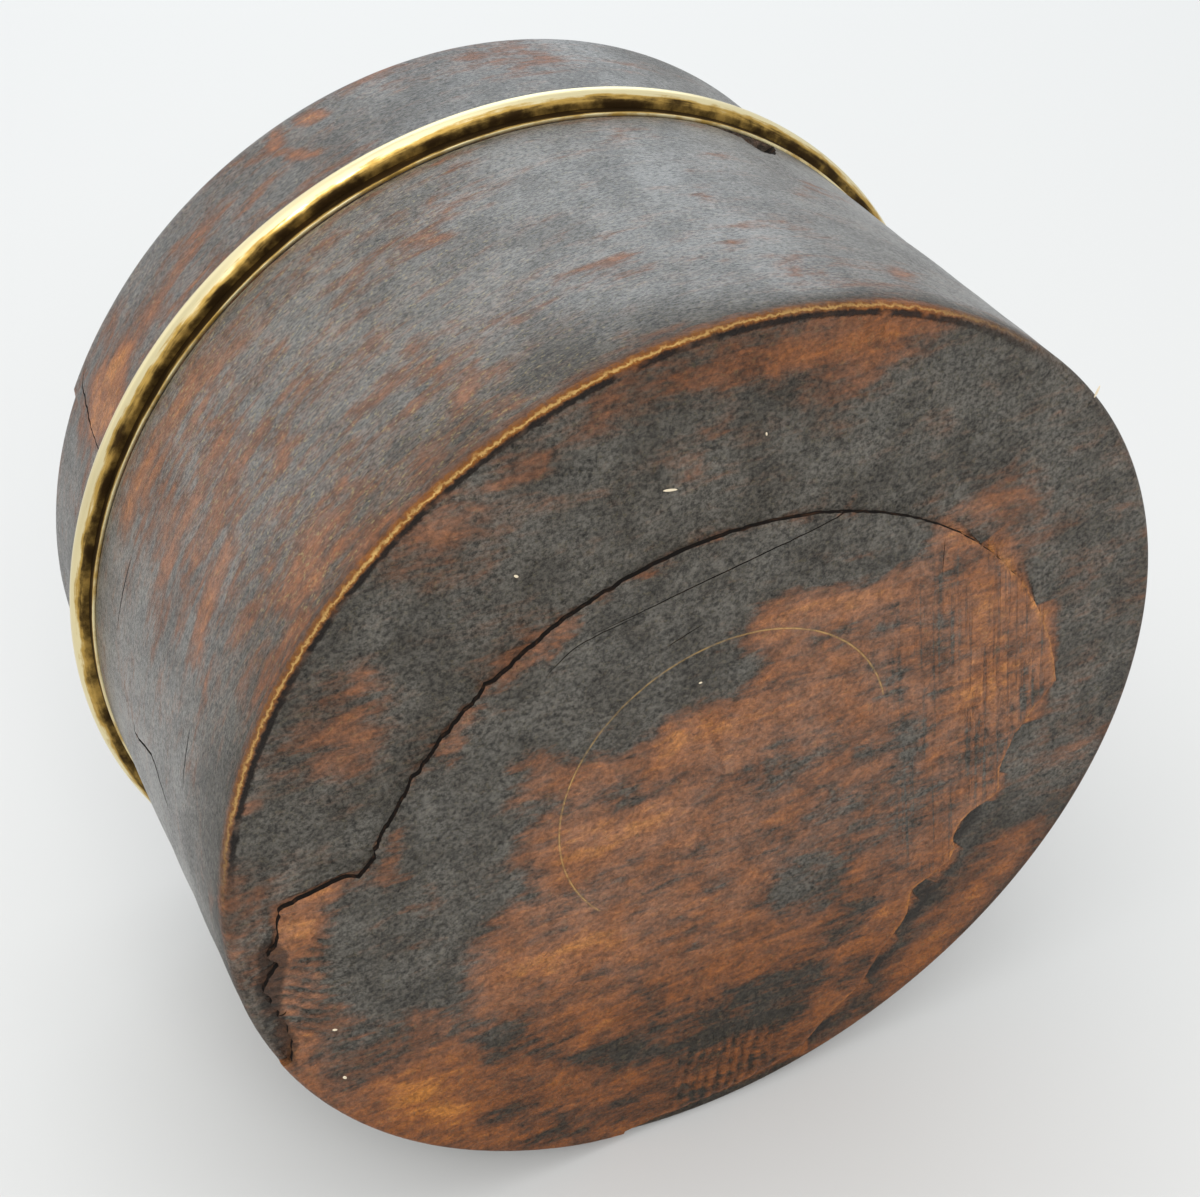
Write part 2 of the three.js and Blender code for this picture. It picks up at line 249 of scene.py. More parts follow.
LID_STREAKS = (
    (-236, 91, -222, 93, 7.0, 0.76), (-222, 91, -200, 93.5, 1.3, 0.62), (-205, 94.5, -186, 96.5, 1.4, 0.6),
    (-208, 87, -196, 87, 1.0, 0.53), (-193, 91.5, -176, 93, 1.1, 0.56), (-176, 98, -173, 92, 0.9, 0.94),
    (-173, 92, -170, 91.5, 1.0, 0.94), (-176.5, 101, -174.5, 106, 1.0, 0.85),
    (-170, 104, -166, 101.5, 1.3, 0.98), (-161, 105, -150, 107, 1.1, 0.63),
    (-139, 102, -136, 102.5, 0.8, 0.66), (-190, 103, -180, 105, 1.5, 0.51),
    (-244, 96, -238, 101, 1.2, 0.48),
)
# Azimuth in degrees against how bright the base's edge is: rubbed wood with a painted highlight along it
RIM_WEAR_AND_HIGHLIGHT = (
    (-180, -172, -160, -140, -122, -112, -95, -80, -60, -45, -20, 20, 45, 60, 90, 180),
    (0.1, 0.3, 0.7, 0.8, 1.0, 0.95, 0.7, 0.6, 0.35, 0.1, 0.05, 0.25, 0.3, 0.2, 0.1, 0.1),
)

# How far the polish is worn in general: dark and worn field, the crescent, and round the walls
FIELD_LEVELS = (0.22, 0.565)
CRESCENT_LEVEL = 0.24
WALL_LEVELS = (
    (-270, -250, -240, -228, -200, -178, -160, -140, -100, 60, 138),
    (0.22, 0.26, 0.36, 0.42, 0.42, 0.37, 0.33, 0.28, 0.25, 0.26, 0.22),
)
LID_LEVELS = (
    (-270, -245, -236, -222, -190, -165, -150, -100, 60, 138),
    (0.22, 0.28, 0.40, 0.40, 0.38, 0.31, 0.26, 0.24, 0.26, 0.22),
)
WALL_FLECKS = ((-270, -235, -215, -170, -150, -60, 138), (0.05, 0.2, 0.9, 0.8, 0.25, 0.05, 0.1))
# Round the wall: painted reflection haze, height at which the coat is whole, and where the foot is rubbed
WALL_REFLECTION_HAZE = ((-170, -120), (0.083, 0.060))
WALL_COAT_HEIGHT = ((-170, -130), (24, 5))
WALL_FOOT = ((-245, -235, -150, -120), (0, 1, 1, 0))
WALL_FOOT_HEIGHT = 12
# Painted reflection haze and coat on the lid
LID_REFLECTION_HAZE = 0.053
LID_COAT = 0.75
# Azimuth about the field's centre against how bright the field's edge is: a rubbed lip with a painted
# highlight
FIELD_EDGE_WEAR_AND_HIGHLIGHT = ((-60, -40, 20, 60), (0, 1, 1, 0.4))
# Along X and along Y, where the field is scraped in fine lines
SCRAPED_X = ((24, 42), (0, 1))
SCRAPED_Y = ((-40, -25, 35, 50), (0, 1, 1, 0))
# A distance from the base's edge at which the edge's wear no longer shows
NO_EDGE = 9.0

# Cracks: points, with half width and depth, on the base and on the walls
BASE_CRACKS = (
    (((-33.3, -33.7), (-27.4, -38.1), (-16.7, -40.4)), 0.1, 0.35),
    (((-25.2, -39.4), (-15.8, -41.1), (-4, -43.4), (11.5, -46.3), (20.5, -48.2), (26, -48.2)), 0.12, 0.4),
    (((-12.1, -32.2), (-5.1, -34.7)), 0.1, 0.3),
    (((39.8, -37), (40.1, -29)), 0.06, 0.2),
    (((-80, 19), (-82, 20.5), (-84, 21)), 0.2, 0.8),
)
WALL_CRACKS = (
    (((-270.5, 50.4), (-272, 48.5), (-269, 39.5), (-271, 34.7), (-274, 30.2)), 0.3, 0.9),
    (((-196, 70.5), (-189, 71), (-184, 69.2)), 0.12, 0.4),
    (((-262, 21.5), (-250, 22)), 0.15, 0.5),
    (((-258, 60.5), (-242, 60)), 0.15, 0.5),
)
LID_CRACKS = (
    (((-231.8, 105), (-233.8, 102.9), (-235.5, 96.7), (-236.8, 92.2), (-237.5, 86.6), (-237.6, 82)),
     0.22, 1.2),
    (((-248.5, 96.6), (-243.2, 96.2)), 0.25, 0.8),
)
# The lid's long crack, and the direction in which the lid has shrunk most, as azimuths in degrees
LID_CRACK_ANGLE = -154.5
LID_NARROW_ANGLE = 12

# Chip out of the mouth's edge: its azimuth in degrees, its outline, how deep it is, how much it
# narrows, and how far to either side its broken wood can show
CHIP_ANGLE = -62
CHIP_OUTLINE = (
    (-9.4, 0), (-5.7, -1.6), (-2.4, -3), (-2.3, -6.8), (-0.9, -9.6), (2.8, -8.6), (5.7, -5), (8.7, 0),
)
CHIP_DEPTH = 5.2
CHIP_NARROWING = 0.55
CHIP_HALF_WIDTH = 9.6

# Splinters and flakes of bare wood caught on the surface: place, length, width, direction
SPLINTERS = (
    ((-11.3, -61.7, 1.2), 2.6, 0.5, 12), ((-36.9, -54.1, 1.2), 0.9, 0.5, 40),
    ((-45.6, -28.2, 1.0), 0.9, 0.5, -40), ((-49.1, -27.4, 1.0), 0.8, 0.5, 20),
    ((-72.4, 27.5, 0.1), 1.0, 0.5, 30), ((-71.6, 40, 0.1), 1.0, 0.6, 60),
    ((67.9, -56.6, 1.3), 2.4, 0.5, -70), ((5, -67, 1.2), 0.7, 0.35, 80), ((-5.5, -22.5, 0.1), 0.7, 0.4, 0),
)
SPLINTER_THICKNESS = 0.24

# Circle scribed on the field
SCRIBED_CENTRE = (0.3, 1.6)
SCRIBED_RADIUS = 31.4

# Colours that have no setting
FLECK_COLOUR = (0.42, 0.34, 0.15)
# Painted shade at the foot of the field's step, and grime in its torn left edge
GRIME_AND_SHADE_COLOUR = (0.020, 0.016, 0.013)
LINE_COLOUR = (0.006, 0.004, 0.003)
INSIDE_COLOURS = ((0.09, 0.035, 0.016), (0.23, 0.095, 0.038))
# Broken wood, near black as painted shade in the chip, the cracks and the step
SHADED_BROKEN_COLOURS = ((0.007, 0.005, 0.004), (0.055, 0.026, 0.013))
SPLINTER_COLOUR = (0.72, 0.62, 0.45)
BACKGROUND_COLOUR = (0.88, 0.91, 0.93)

# Lamps: place and size in metres, colour, and the setting that holds the power
LAMPS = {
    "soft_lamp": ((-0.25, -1.0, 0.0), (1.0, 1.0), (1, 1, 1), "lamp_power"),
    "fill": ((-0.3, -0.85, -0.85), (0.6, 0.6), (1.0, 0.99, 0.97), "fill_power"),
    "backdrop": ((-0.5, -0.3, 1.2), (2.2, 1.4), (0.97, 0.98, 1.0), "backdrop_power"),
    "window": ((0.40, -0.54, 0.93), (0.9, 0.7), (0.82, 0.92, 1.0), "window_power"),
}

# Camera: its place in millimetres and its directions, then its lens and sensor in millimetres
CAMERA_PLACE = (-140.0, -252.8, -235.91)
CAMERA_AHEAD = (0.34782, 0.61773, 0.70529)
CAMERA_UP = (0.27322, -0.78639, 0.55402)
CAMERA_RIGHT = (0.89687, 0.0, -0.4423)
CAMERA_LENS = (66.0, 36.0)

# Floor: half its width in metres, the height at which the base touches it, and the gap to the wood
FLOOR_REACH = 3.0
FLOOR_TOUCH = 2.4
FLOOR_GAP = 0.05

VECTOR, FLOAT, COLOUR = "NodeSocketVector", "NodeSocketFloat", "NodeSocketColor"


def colour_setting(name, description, default):
    return FloatVectorProperty(
        name=name, description=description, subtype="COLOR", size=3, default=default, min=0, max=1)


def power_setting(name, description, default):
    return FloatProperty(name=name, description=description, default=default, min=0, unit="POWER")


class TurnedBoxShape(bpy.types.PropertyGroup):
    field_rise: FloatProperty(
        name="Field rise", description="How far the raised field stands out of the base",
        default=1.2 * MM, min=0.0002, unit="LENGTH")
    tool_relief: FloatProperty(
        name="Tool relief", description="How strongly the tool marks on the field are cut",
        default=1.0, min=0.0, max=2.0, subtype="FACTOR")
    lid_warp: FloatProperty(
        name="Lid warp", description="How far the lid's top has shrunk out of round",
        default=1.4 * MM, min=0.0, max=0.002, unit="LENGTH")


class TurnedBoxFinish(bpy.types.PropertyGroup):
    polish: colour_setting("Old polish", "Colour of the dark old polish", (0.024, 0.016, 0.008))
    stained_wood: colour_setting(
        "Stained wood", "Colour of the wood where the polish is thin", (0.072, 0.032, 0.013))
    red_wood: colour_setting(
        "Red wood", "Colour of the wood where little polish is left", (0.138, 0.042, 0.009))
    warm_wood: colour_setting(
        "Warm wood", "Colour of the wood where the polish has gone", (0.245, 0.070, 0.007))
    gold_wood: colour_setting(
        "Golden wood", "Colour of the wood where it is worn most", (0.45, 0.158, 0.016))
    # Bare wood is also the painted highlight on the rubbed rim's bright core
    bare_wood_and_highlight: colour_setting("Bare wood", "Colour of wood rubbed bare on edges", (0.80, 0.50, 0.17))
    brass: colour_setting("Brass", "Colour of the bright brass", (0.79, 0.68, 0.40))
    aged_brass: colour_setting(
        "Aged brass", "Colour of the brass where it has yellowed", (0.50, 0.32, 0.085))
    # Also the painted shade on the bead's lower side and on the band under it
    tarnish: colour_setting("Tarnish and shade", "Colour of the tarnished brass", (0.045, 0.026, 0.010))
    # The grey haze painted into the colour as the reflection of the bright room on the polish
    film: colour_setting("Film", "Colour of the thin grey film on the polish", (0.98, 0.955, 0.86))


class TurnedBoxStage(bpy.types.PropertyGroup):
    floor_colour: colour_setting("Floor", "Colour of the pale floor", (0.685, 0.69, 0.685))
    soft_light: FloatProperty(
        name="Soft light", description="Brightness of the light from all round", default=0.82, min=0)
    lamp_power: power_setting("Lamp", "Power of the large soft lamp over the box", 2.8)
    window_power: power_setting("Window", "Power of the cool lamp that lights the wall's top", 2.6)
    fill_power: power_setting("Fill", "Power of the broad lamp that lights the base", 6.5)
    backdrop_power: power_setting("Backdrop", "Power of the broad lamp behind the box", 3.4)


def shape():
    return bpy.context.scene.turned_box_shape


def finish():
    return bpy.context.scene.turned_box_finish


class Nodes:
    """Adds nodes to one node tree and joins them up."""

    def __init__(self, tree):
        self.tree = tree

    def add(self, kind, inputs=None, **settings):
        node = self.tree.nodes.new(kind)
        for name, value in settings.items():
            setattr(node, name, value)
        return self.fill(node, inputs or {})

    def fill(self, node, inputs):
        """Gives each named input its value, or joins it to the socket that is its value."""
        for name, value in inputs.items():
            socket = node.inputs[name]
            if isinstance(value, bpy.types.NodeSocket):
                self.tree.links.new(value, socket)
            elif socket.type == "RGBA" and len(value) == 3:
                socket.default_value = (*value, 1)
            else:
                socket.default_value = value
        return node

    def math(self, operation, a, b=0.0, clamp=False):
        node = self.add("ShaderNodeMath", {0: a, 1: b}, operation=operation, use_clamp=clamp)
        return node.outputs[0]

    def plus(self, a, b):
        return self.math("ADD", a, b)

    def minus(self, a, b):
        return self.math("SUBTRACT", a, b)

    def times(self, *values):
        product = values[0]
        for value in values[1:]:
            product = self.math("MULTIPLY", product, value)
        return product

    def centred(self, value):
        """Noise that goes both ways from zero."""
        return self.minus(value, 0.5)

    def total(self, *terms):
        """Adds up pairs of a value and its weight."""
        result = None
        for value, weight in terms:
            part = self.times(value, weight)
            result = part if result is None else self.plus(result, part)
        return result

    def mix(self, factor, a, b, blend="MIX"):
        node = self.add("ShaderNodeMix", {0: factor}, data_type="RGBA", blend_type=blend)
        return self.fill(node, {6: a, 7: b}).outputs[2]

    def stretch(self, vector, scale):
        node = self.add("ShaderNodeMapping", {"Vector": vector, "Scale": scale})
        return node.outputs[0]

    def noise(self, vector, scale=1.0, detail=3.0, roughness=0.5, distortion=0.0):
        node = self.add("ShaderNodeTexNoise", {
            "Vector": vector, "Scale": scale, "Detail": detail, "Roughness": roughness,
            "Distortion": distortion})
        return node.outputs[0]

    def between(self, value, low, high, out_low=0.0, out_high=1.0):
        node = self.add("ShaderNodeMapRange", {
            "Value": value, "From Min": low, "From Max": high, "To Min": out_low,
            "To Max": out_high}, interpolation_type="SMOOTHSTEP")
        return node.outputs[0]

    def join(self, x, y, z):
        return self.add("ShaderNodeCombineXYZ", {0: x, 1: y, 2: z}).outputs[0]

    def millimetres(self):
        place = self.add("ShaderNodeTexCoord").outputs["Object"]
        return self.stretch(place, (1 / MM,) * 3)

    def attribute(self, name):
        return self.add("ShaderNodeAttribute", attribute_name=name).outputs["Fac"]

    def radius(self, place):
        """Distance from the box's axis, and height."""
        parts = self.add("ShaderNodeSeparateXYZ", {0: place}).outputs
        squares = self.plus(self.times(parts[0], parts[0]), self.times(parts[1], parts[1]))
        return self.math("SQRT", squares), parts[2]

    def group(self, group, inputs):
        return self.fill(self.add("ShaderNodeGroup", node_tree=group), inputs).outputs

    def relief(self, surface, strength, depth, height):
        """Gives a surface relief, with its depth in millimetres."""
        bump = self.add("ShaderNodeBump", {
            "Strength": strength, "Distance": depth * MM, "Height": height})
        self.fill(surface, {"Normal": bump.outputs[0]})


def empty_nodes(owner):
    """Switches on the nodes of a material or a world, and clears them."""
    owner.use_nodes = True
    owner.node_tree.nodes.clear()
    return Nodes(owner.node_tree)


def new_group(name, inputs, outputs):
    """Starts a shader node group and returns its nodes, what it is given and its output node."""
    tree = bpy.data.node_groups.new(name, "ShaderNodeTree")
    for title, kind, value in inputs:
        socket = tree.interface.new_socket(title, in_out="INPUT", socket_type=kind)
        if value is not None:
            socket.default_value = value
    for title, kind in outputs:
        tree.interface.new_socket(title, in_out="OUTPUT", socket_type=kind)
    nodes = Nodes(tree)
    return nodes, nodes.add("NodeGroupInput").outputs, nodes.add("NodeGroupOutput")


def polish_ramp(nodes, value):
    """From dark polish through stained and red wood to gold, as the value rises."""
    colours = finish()
    stops = (
        (0.05, [c * 0.6 for c in colours.polish]), (0.27, colours.polish), (0.40, colours.stained_wood),
        (0.53, colours.red_wood), (0.73, colours.warm_wood), (0.98, colours.gold_wood))
    ramp = nodes.add("ShaderNodeValToRGB", {"Fac": value})
    elements = ramp.color_ramp.elements
    while len(elements) < len(stops):
        elements.new(0.5)
    for element, (position, colour) in zip(elements, stops):
        element.position, element.color = position, (*colour, 1)
    return ramp.outputs["Color"]


def patina_group():
    """Colour, sheen and relief of old polished wood, from how far it is worn; the colour carries a painted
    reflection haze.

    Place is in millimetres, and Grain is the same shortened along the grain.
    """
    name = "Worn patina"
    if name in bpy.data.node_groups:
        return bpy.data.node_groups[name]
    nodes, given, result = new_group(
        name,
        [("Grain", VECTOR, None), ("Place", VECTOR, None), ("Worn", FLOAT, 0.3), ("Mottle", FLOAT, 1.0),
         ("Crisp", FLOAT, 0.5), ("Flecks", FLOAT, 0.5), ("Film", FLOAT, 0.01)],
        [("Color", COLOUR), ("Worn", FLOAT), ("Sheen", FLOAT), ("Height", FLOAT)])
    grain, place = given["Grain"], given["Place"]

    figure = nodes.noise(grain, scale=0.06, distortion=0.6)
    streak = nodes.noise(nodes.stretch(grain, (0.16, 0.55, 0.55)), detail=4, roughness=0.55, distortion=0.3)
    cloud = nodes.noise(grain, scale=0.22, detail=8, roughness=0.64, distortion=0.8)
    mottle = nodes.noise(grain, scale=0.95, detail=6, roughness=0.72)
    lumps = nodes.noise(place, scale=0.95, detail=7, roughness=0.75)
    dents = nodes.noise(place, scale=0.32, detail=4, roughness=0.6, distortion=0.5)
    slow = nodes.noise(place, scale=0.09, detail=4, roughness=0.6)
    grit = nodes.noise(nodes.stretch(place, (0.6, 0.6, 1.5)), scale=2.0, detail=4, roughness=0.8)
    fleck = nodes.noise(nodes.stretch(place, (0.7, 0.7, 1.3)), scale=1.5, detail=5, roughness=0.75)

    spread = nodes.total(
        (nodes.centred(figure), 0.7), (nodes.centred(streak), 0.6),
        (nodes.centred(cloud), 1.05), (nodes.centred(mottle), 0.6))
    value = nodes.plus(given["Worn"], nodes.times(spread, given["Mottle"]))
    parting = nodes.between(value, 0.35, 0.43, -0.06, 0.05)
    value = nodes.plus(value, nodes.times(parting, given["Crisp"]))
    worn = nodes.between(value, 0.3, 0.6)
    # Painted reflection: a grey haze added to the wood's colour, less where it is worn
    film = nodes.times(given["Film"], nodes.between(worn, 0, 1, 1.0, 0.62),
                       nodes.between(slow, 0.34, 0.66, 0.68, 1.28))
    with_reflection_haze = nodes.mix(film, polish_ramp(nodes, value), finish().film, "ADD")

    texture = nodes.plus(nodes.between(lumps, 0.34, 0.66, -0.24, 0.28),
                         nodes.between(grit, 0.36, 0.64, -0.52, 0.62))
    texture = nodes.times(texture, nodes.between(worn, 0, 1, 1.0, 0.5))
    texture = nodes.plus(texture, nodes.between(dents, 0.36, 0.64, -0.14, 0.14))
    shade = nodes.plus(texture, 1.0)
    colour = nodes.mix(1.0, with_reflection_haze, nodes.join(shade, shade, shade), "MULTIPLY")
    flecks = nodes.times(nodes.between(fleck, 0.565, 0.625), given["Flecks"])
    sheen = nodes.times(nodes.between(worn, 0, 1, 1.0, 0.35), nodes.between(grit, 0.36, 0.64, 0.5, 1.25),
                        nodes.between(slow, 0.34, 0.66, 0.75, 1.1))
    crust = nodes.times(lumps, nodes.minus(1.0, nodes.times(worn, 0.7)))
    height = nodes.total((crust, 1.3), (grit, 0.55), (dents, 1.2), (mottle, 0.35), (worn, -0.12))
    nodes.fill(result, {"Color": nodes.mix(flecks, colour, FLECK_COLOUR), "Worn": worn, "Sheen": sheen,
                        "Height": height})
    return nodes.tree


def rim_group():
    """Rubbed line on the base's edge with a painted highlight on its bright core, and a broken black line
    inside it.
    """
    name = "Rim wear"
    if name in bpy.data.node_groups:
        return bpy.data.node_groups[name]
    nodes, given, result = new_group(
        name,
        [("Color", COLOUR, None), ("Place", VECTOR, None), ("Edge", FLOAT, NO_EDGE),
         ("Bright", FLOAT, 0.0)],
        [("Color", COLOUR), ("Dark", FLOAT)])
    bright, colours = given["Bright"], finish()
    broken = nodes.noise(given["Place"], scale=0.75, detail=5, roughness=0.7)
    slow = nodes.noise(given["Place"], scale=0.18, detail=2)
    edge = nodes.plus(given["Edge"], nodes.times(nodes.centred(broken), 1.5))
    off = nodes.math("ABSOLUTE", edge)
    rubbed = nodes.between(bright, 0.1, 0.9)
    glow = nodes.times(nodes.between(off, 1.8, 0.0), bright, 0.7)
    colour = nodes.mix(glow, given["Color"], colours.warm_wood)
    near = nodes.times(nodes.between(off, 0.65, 0.12), rubbed, 0.7)
    colour = nodes.mix(near, colour, colours.gold_wood)
    black = nodes.times(nodes.between(edge, -1.75, -1.25), nodes.between(edge, -0.35, -0.75),
                        nodes.between(slow, 0.3, 0.44), nodes.between(bright, 0.1, 0.5))
    colour = nodes.mix(nodes.times(black, 0.93), colour, LINE_COLOUR)
    # Painted highlight: the bright core along the rubbed edge
    core = nodes.times(nodes.between(off, 0.22, 0.03), rubbed, nodes.between(broken, 0.34, 0.5, 0.35, 1.0))
    nodes.fill(result, {"Color": nodes.mix(core, colour, colours.bare_wood_and_highlight), "Dark": black})
    return nodes.tree


def new_material(name):
    """A material with a plain surface, its nodes and the surface's node."""
    material = bpy.data.materials.new(name)
    nodes = empty_nodes(material)
    surface = nodes.add("ShaderNodeBsdfPrincipled")
    nodes.add("ShaderNodeOutputMaterial", {"Surface": surface.outputs[0]})
    return material, nodes, surface


def polish_surface(nodes, surface, place, wood, colour):
    """What every outside of old wood shares: the rubbed rim with its painted highlight, and a coat that is
    gone where it is worn.

    Returns how much of the black line beside the rim is there.
    """
    rim = nodes.group(rim_group(), {
        "Color": colour, "Place": place, "Edge": nodes.attribute("edge"), "Bright": nodes.attribute("rim")})
    nodes.fill(surface, {
        "Base Color": rim["Color"], "Roughness": nodes.between(wood["Worn"], 0, 1, 0.46, 0.42),
        "Specular IOR Level": 0.22, "Coat Roughness": 0.36, "Coat IOR": 1.7,
        "Coat Weight": nodes.math("MULTIPLY", wood["Sheen"], nodes.attribute("sheen"), clamp=True)})
    return rim["Dark"]


def base_material():
    """The underside: straight grain along X, worn field, dark crescent and a rubbed rim, with painted shade
    at the foot of the field's step, a painted highlight on the rim and a painted reflection haze.
    """
    material, nodes, surface = new_material("base_wood")
    place = nodes.millimetres()
    turned = nodes.add("ShaderNodeMapping", {"Vector": place, "Rotation": (0, 0, math.radians(7))})
    lines = nodes.noise(nodes.stretch(turned.outputs[0], (0.85, 0.02, 1)), detail=3, roughness=0.6)
    lines = nodes.times(nodes.between(lines, 0.47, 0.36), nodes.attribute("scraped"))
    wood = nodes.group(patina_group(), {
        "Grain": nodes.stretch(place, (0.5, 1, 1)), "Place": place,
        "Worn": nodes.minus(nodes.attribute("worn"), nodes.times(lines, 0.15)),
        "Mottle": nodes.attribute("mottle"), "Crisp": nodes.attribute("crisp"), "Flecks": 0.12,
        "Film": nodes.attribute("film")})

    broken = nodes.noise(place, scale=0.5, detail=5, roughness=0.65)
    ring = nodes.add("ShaderNodeVectorMath", {0: place, 1: (*SCRIBED_CENTRE, 0)}, operation="DISTANCE")
    off_ring = nodes.math("ABSOLUTE", nodes.minus(ring.outputs["Value"], SCRIBED_RADIUS))
    scribed = nodes.times(nodes.between(off_ring, 0.28, 0.08), nodes.attribute("scribed"),
                          nodes.between(broken, 0.36, 0.6, 0.35, 1.0))
    colour = nodes.mix(nodes.times(scribed, 0.5), wood["Color"], finish().bare_wood_and_highlight)
    # Painted shade at the foot of the field's step, with grime in its torn left edge, broken up by noise
    dirt_and_shade = nodes.plus(nodes.attribute("grime"), nodes.times(nodes.centred(broken), 0.9))
    colour = nodes.mix(nodes.times(nodes.between(dirt_and_shade, 0.35, 0.75), 0.75), colour, GRIME_AND_SHADE_COLOUR)
    dark = polish_surface(nodes, surface, place, wood, colour)
    nodes.relief(surface, 1.0, 1.1, nodes.total(
        (wood["Height"], 1.0), (scribed, -0.3), (dark, -1.0), (lines, -0.35)))
    return material


def wall_material(name, seed, flecks):
    """A turned wall: streaks of worn polish that run round it."""
    material, nodes, surface = new_material(name)
    place = nodes.millimetres()
    grain = nodes.add("ShaderNodeMapping", {
        "Vector": place, "Location": (seed, seed, seed), "Scale": (0.3, 0.3, 1)}).outputs[0]
    wood = nodes.group(patina_group(), {
        "Grain": grain, "Place": place, "Worn": nodes.attribute("worn"), "Mottle": 0.85, "Crisp": 0.2,
        "Flecks": nodes.times(nodes.attribute("speckled"), flecks), "Film": nodes.attribute("film")})
    polish_surface(nodes, surface, place, wood, wood["Color"])
    nodes.relief(surface, 1.0, 0.8, wood["Height"])
    return material


def inside_material(name):
    """Plain turned wood inside the box and the lid."""
    material, nodes, surface = new_material(name)
    place = nodes.millimetres()
    radius, height = nodes.radius(place)
    turning = nodes.noise(nodes.stretch(nodes.join(radius, height, 0), (1.1, 1.1, 1)), roughness=0.6)
    grain = nodes.noise(nodes.stretch(place, (0.03, 0.5, 0.5)), detail=5, roughness=0.6, distortion=0.3)
    tone = nodes.total((grain, 0.7), (turning, 0.3))
    nodes.fill(surface, {
        "Base Color": nodes.mix(nodes.between(tone, 0.38, 0.62), *INSIDE_COLOURS), "Roughness": 0.6})
    nodes.relief(surface, 0.4, 0.2, turning)
    return material


def shaded_broken_material(name):
    """Old broken wood in the chip, the cracks and the step, painted near black for the shade that fills
    them.
    """
    material, nodes, surface = new_material(name)
    fibre = nodes.noise(nodes.stretch(nodes.millimetres(), (0.25, 1.6, 1.6)), detail=5, roughness=0.65)
    nodes.fill(surface, {
        "Base Color": nodes.mix(nodes.between(fibre, 0.5, 0.72), *SHADED_BROKEN_COLOURS), "Roughness": 0.8,
        "Specular IOR Level": 0.2})
    nodes.relief(surface, 0.8, 0.3, fibre)
    return material


def splinter_material():
    material, nodes, surface = new_material("pale_splinter")
    nodes.fill(surface, {"Base Color": SPLINTER_COLOUR, "Roughness": 0.7})
    return material


def brass_material(name):
    """Old brass: bright where it is handled, brown where it is not, and darkened by painted shade where the
    mesh's mask says.
    """
    material, nodes, surface = new_material(name)
    place, colours = nodes.millimetres(), finish()
    cloud = nodes.noise(nodes.stretch(place, (0.14, 0.14, 0.5)), detail=7, roughness=0.62)
    drawn = nodes.noise(nodes.stretch(place, (0.1, 0.1, 3.0)), detail=4, roughness=0.6)
    mask = nodes.between(nodes.total(
        (nodes.attribute("tarnish"), 1.0), (nodes.centred(cloud), 1.1), (nodes.centred(drawn), 0.9)), 0, 1)
    colour = nodes.mix(nodes.between(mask, 0.16, 0.55), colours.brass, colours.aged_brass)
    colour = nodes.mix(nodes.between(mask, 0.55, 1.0), colour, colours.tarnish)
    nodes.fill(surface, {
        "Base Color": colour, "Metallic": 1.0, "Roughness": nodes.between(mask, 0, 1, 0.32, 0.6)})
    nodes.relief(surface, 0.35, 0.2, nodes.total((drawn, 0.5), (cloud, 0.6)))
    return material


def lathe(corners, longest, closed=False):
    """Spins a section about Z. A corner is a radius and a height in millimetres, and may have a rounding.

    The function longest gives the greatest length of an edge whose middle is at a radius and height.
    """
    bm = bmesh.new()
    points = [bm.verts.new((corner[0] * MM, 0, corner[1] * MM)) for corner in corners]
    for a, b in zip(points, points[1:] + points[:1] if closed else points[1:]):
        bm.edges.new((a, b))
    for point, (_, _, *rounding) in zip(points, corners):
        if rounding:
            bmesh.ops.bevel(bm, geom=[point], offset=rounding[0] * MM, offset_type="OFFSET",
                            segments=rounding[1], profile=0.5, affect="VERTICES", material=-1)
    for edge in list(bm.edges):
        middle = (edge.verts[0].co + edge.verts[1].co) / 2 / MM
        cuts = int(edge.calc_length() / (longest(middle.x, middle.z) * MM))
        if cuts:
            bmesh.ops.subdivide_edges(bm, edges=[edge], cuts=cuts)
    bmesh.ops.spin(bm, geom=bm.verts[:] + bm.edges[:], cent=(0, 0, 0), axis=(0, 0, 1),
                   angle=2 * math.pi, steps=SPIN_STEPS, use_merge=True)
    bmesh.ops.remove_doubles(bm, verts=bm.verts, dist=1e-6)
    bmesh.ops.recalc_face_normals(bm, faces=bm.faces)
    return bm


def to_mesh(bm, name):
    mesh = bpy.data.meshes.new(name)
    bm.to_mesh(mesh)
    bm.free()
    return mesh


def new_object(name, data):
    """Makes an object and links it to the scene."""
    made = bpy.data.objects.new(name, data)
    bpy.context.scene.collection.objects.link(made)
    return made


def carve(mesh, cutter, operation="DIFFERENCE"):
    """Takes the cutter's shape out of the mesh, or adds it, or keeps what they share."""
    target, tool = new_object("carve_target", mesh), new_object("carve_tool", cutter)
    modifier = target.modifiers.new("carve", "BOOLEAN")
    modifier.operation, modifier.solver, modifier.object = operation, "EXACT", tool
    depsgraph = bpy.context.evaluated_depsgraph_get()
    result = bpy.data.meshes.new_from_object(target.evaluated_get(depsgraph))
    for thing in (target, tool):
        bpy.data.objects.remove(thing)
    for used in (mesh, cutter):
        bpy.data.meshes.remove(used)
    return result


def spline(points, cuts):
    """Smooth points through the given ones, with cuts new points in each span."""
    ends = [2 * Vector(points[0]) - Vector(points[1])] + [Vector(p) for p in points]
    ends.append(2 * Vector(points[-1]) - Vector(points[-2]))
    smooth = []
    for p0, p1, p2, p3 in zip(ends, ends[1:], ends[2:], ends[3:]):
        for step in range(cuts + 1):
            t = step / (cuts + 1)
            smooth.append(0.5 * (2 * p1 + (p2 - p0) * t + (2 * p0 - 5 * p1 + 4 * p2 - p3) * t * t
                                 + (3 * p1 - p0 - 3 * p2 + p3) * t ** 3))
    smooth.append(Vector(points[-1]))
    return smooth


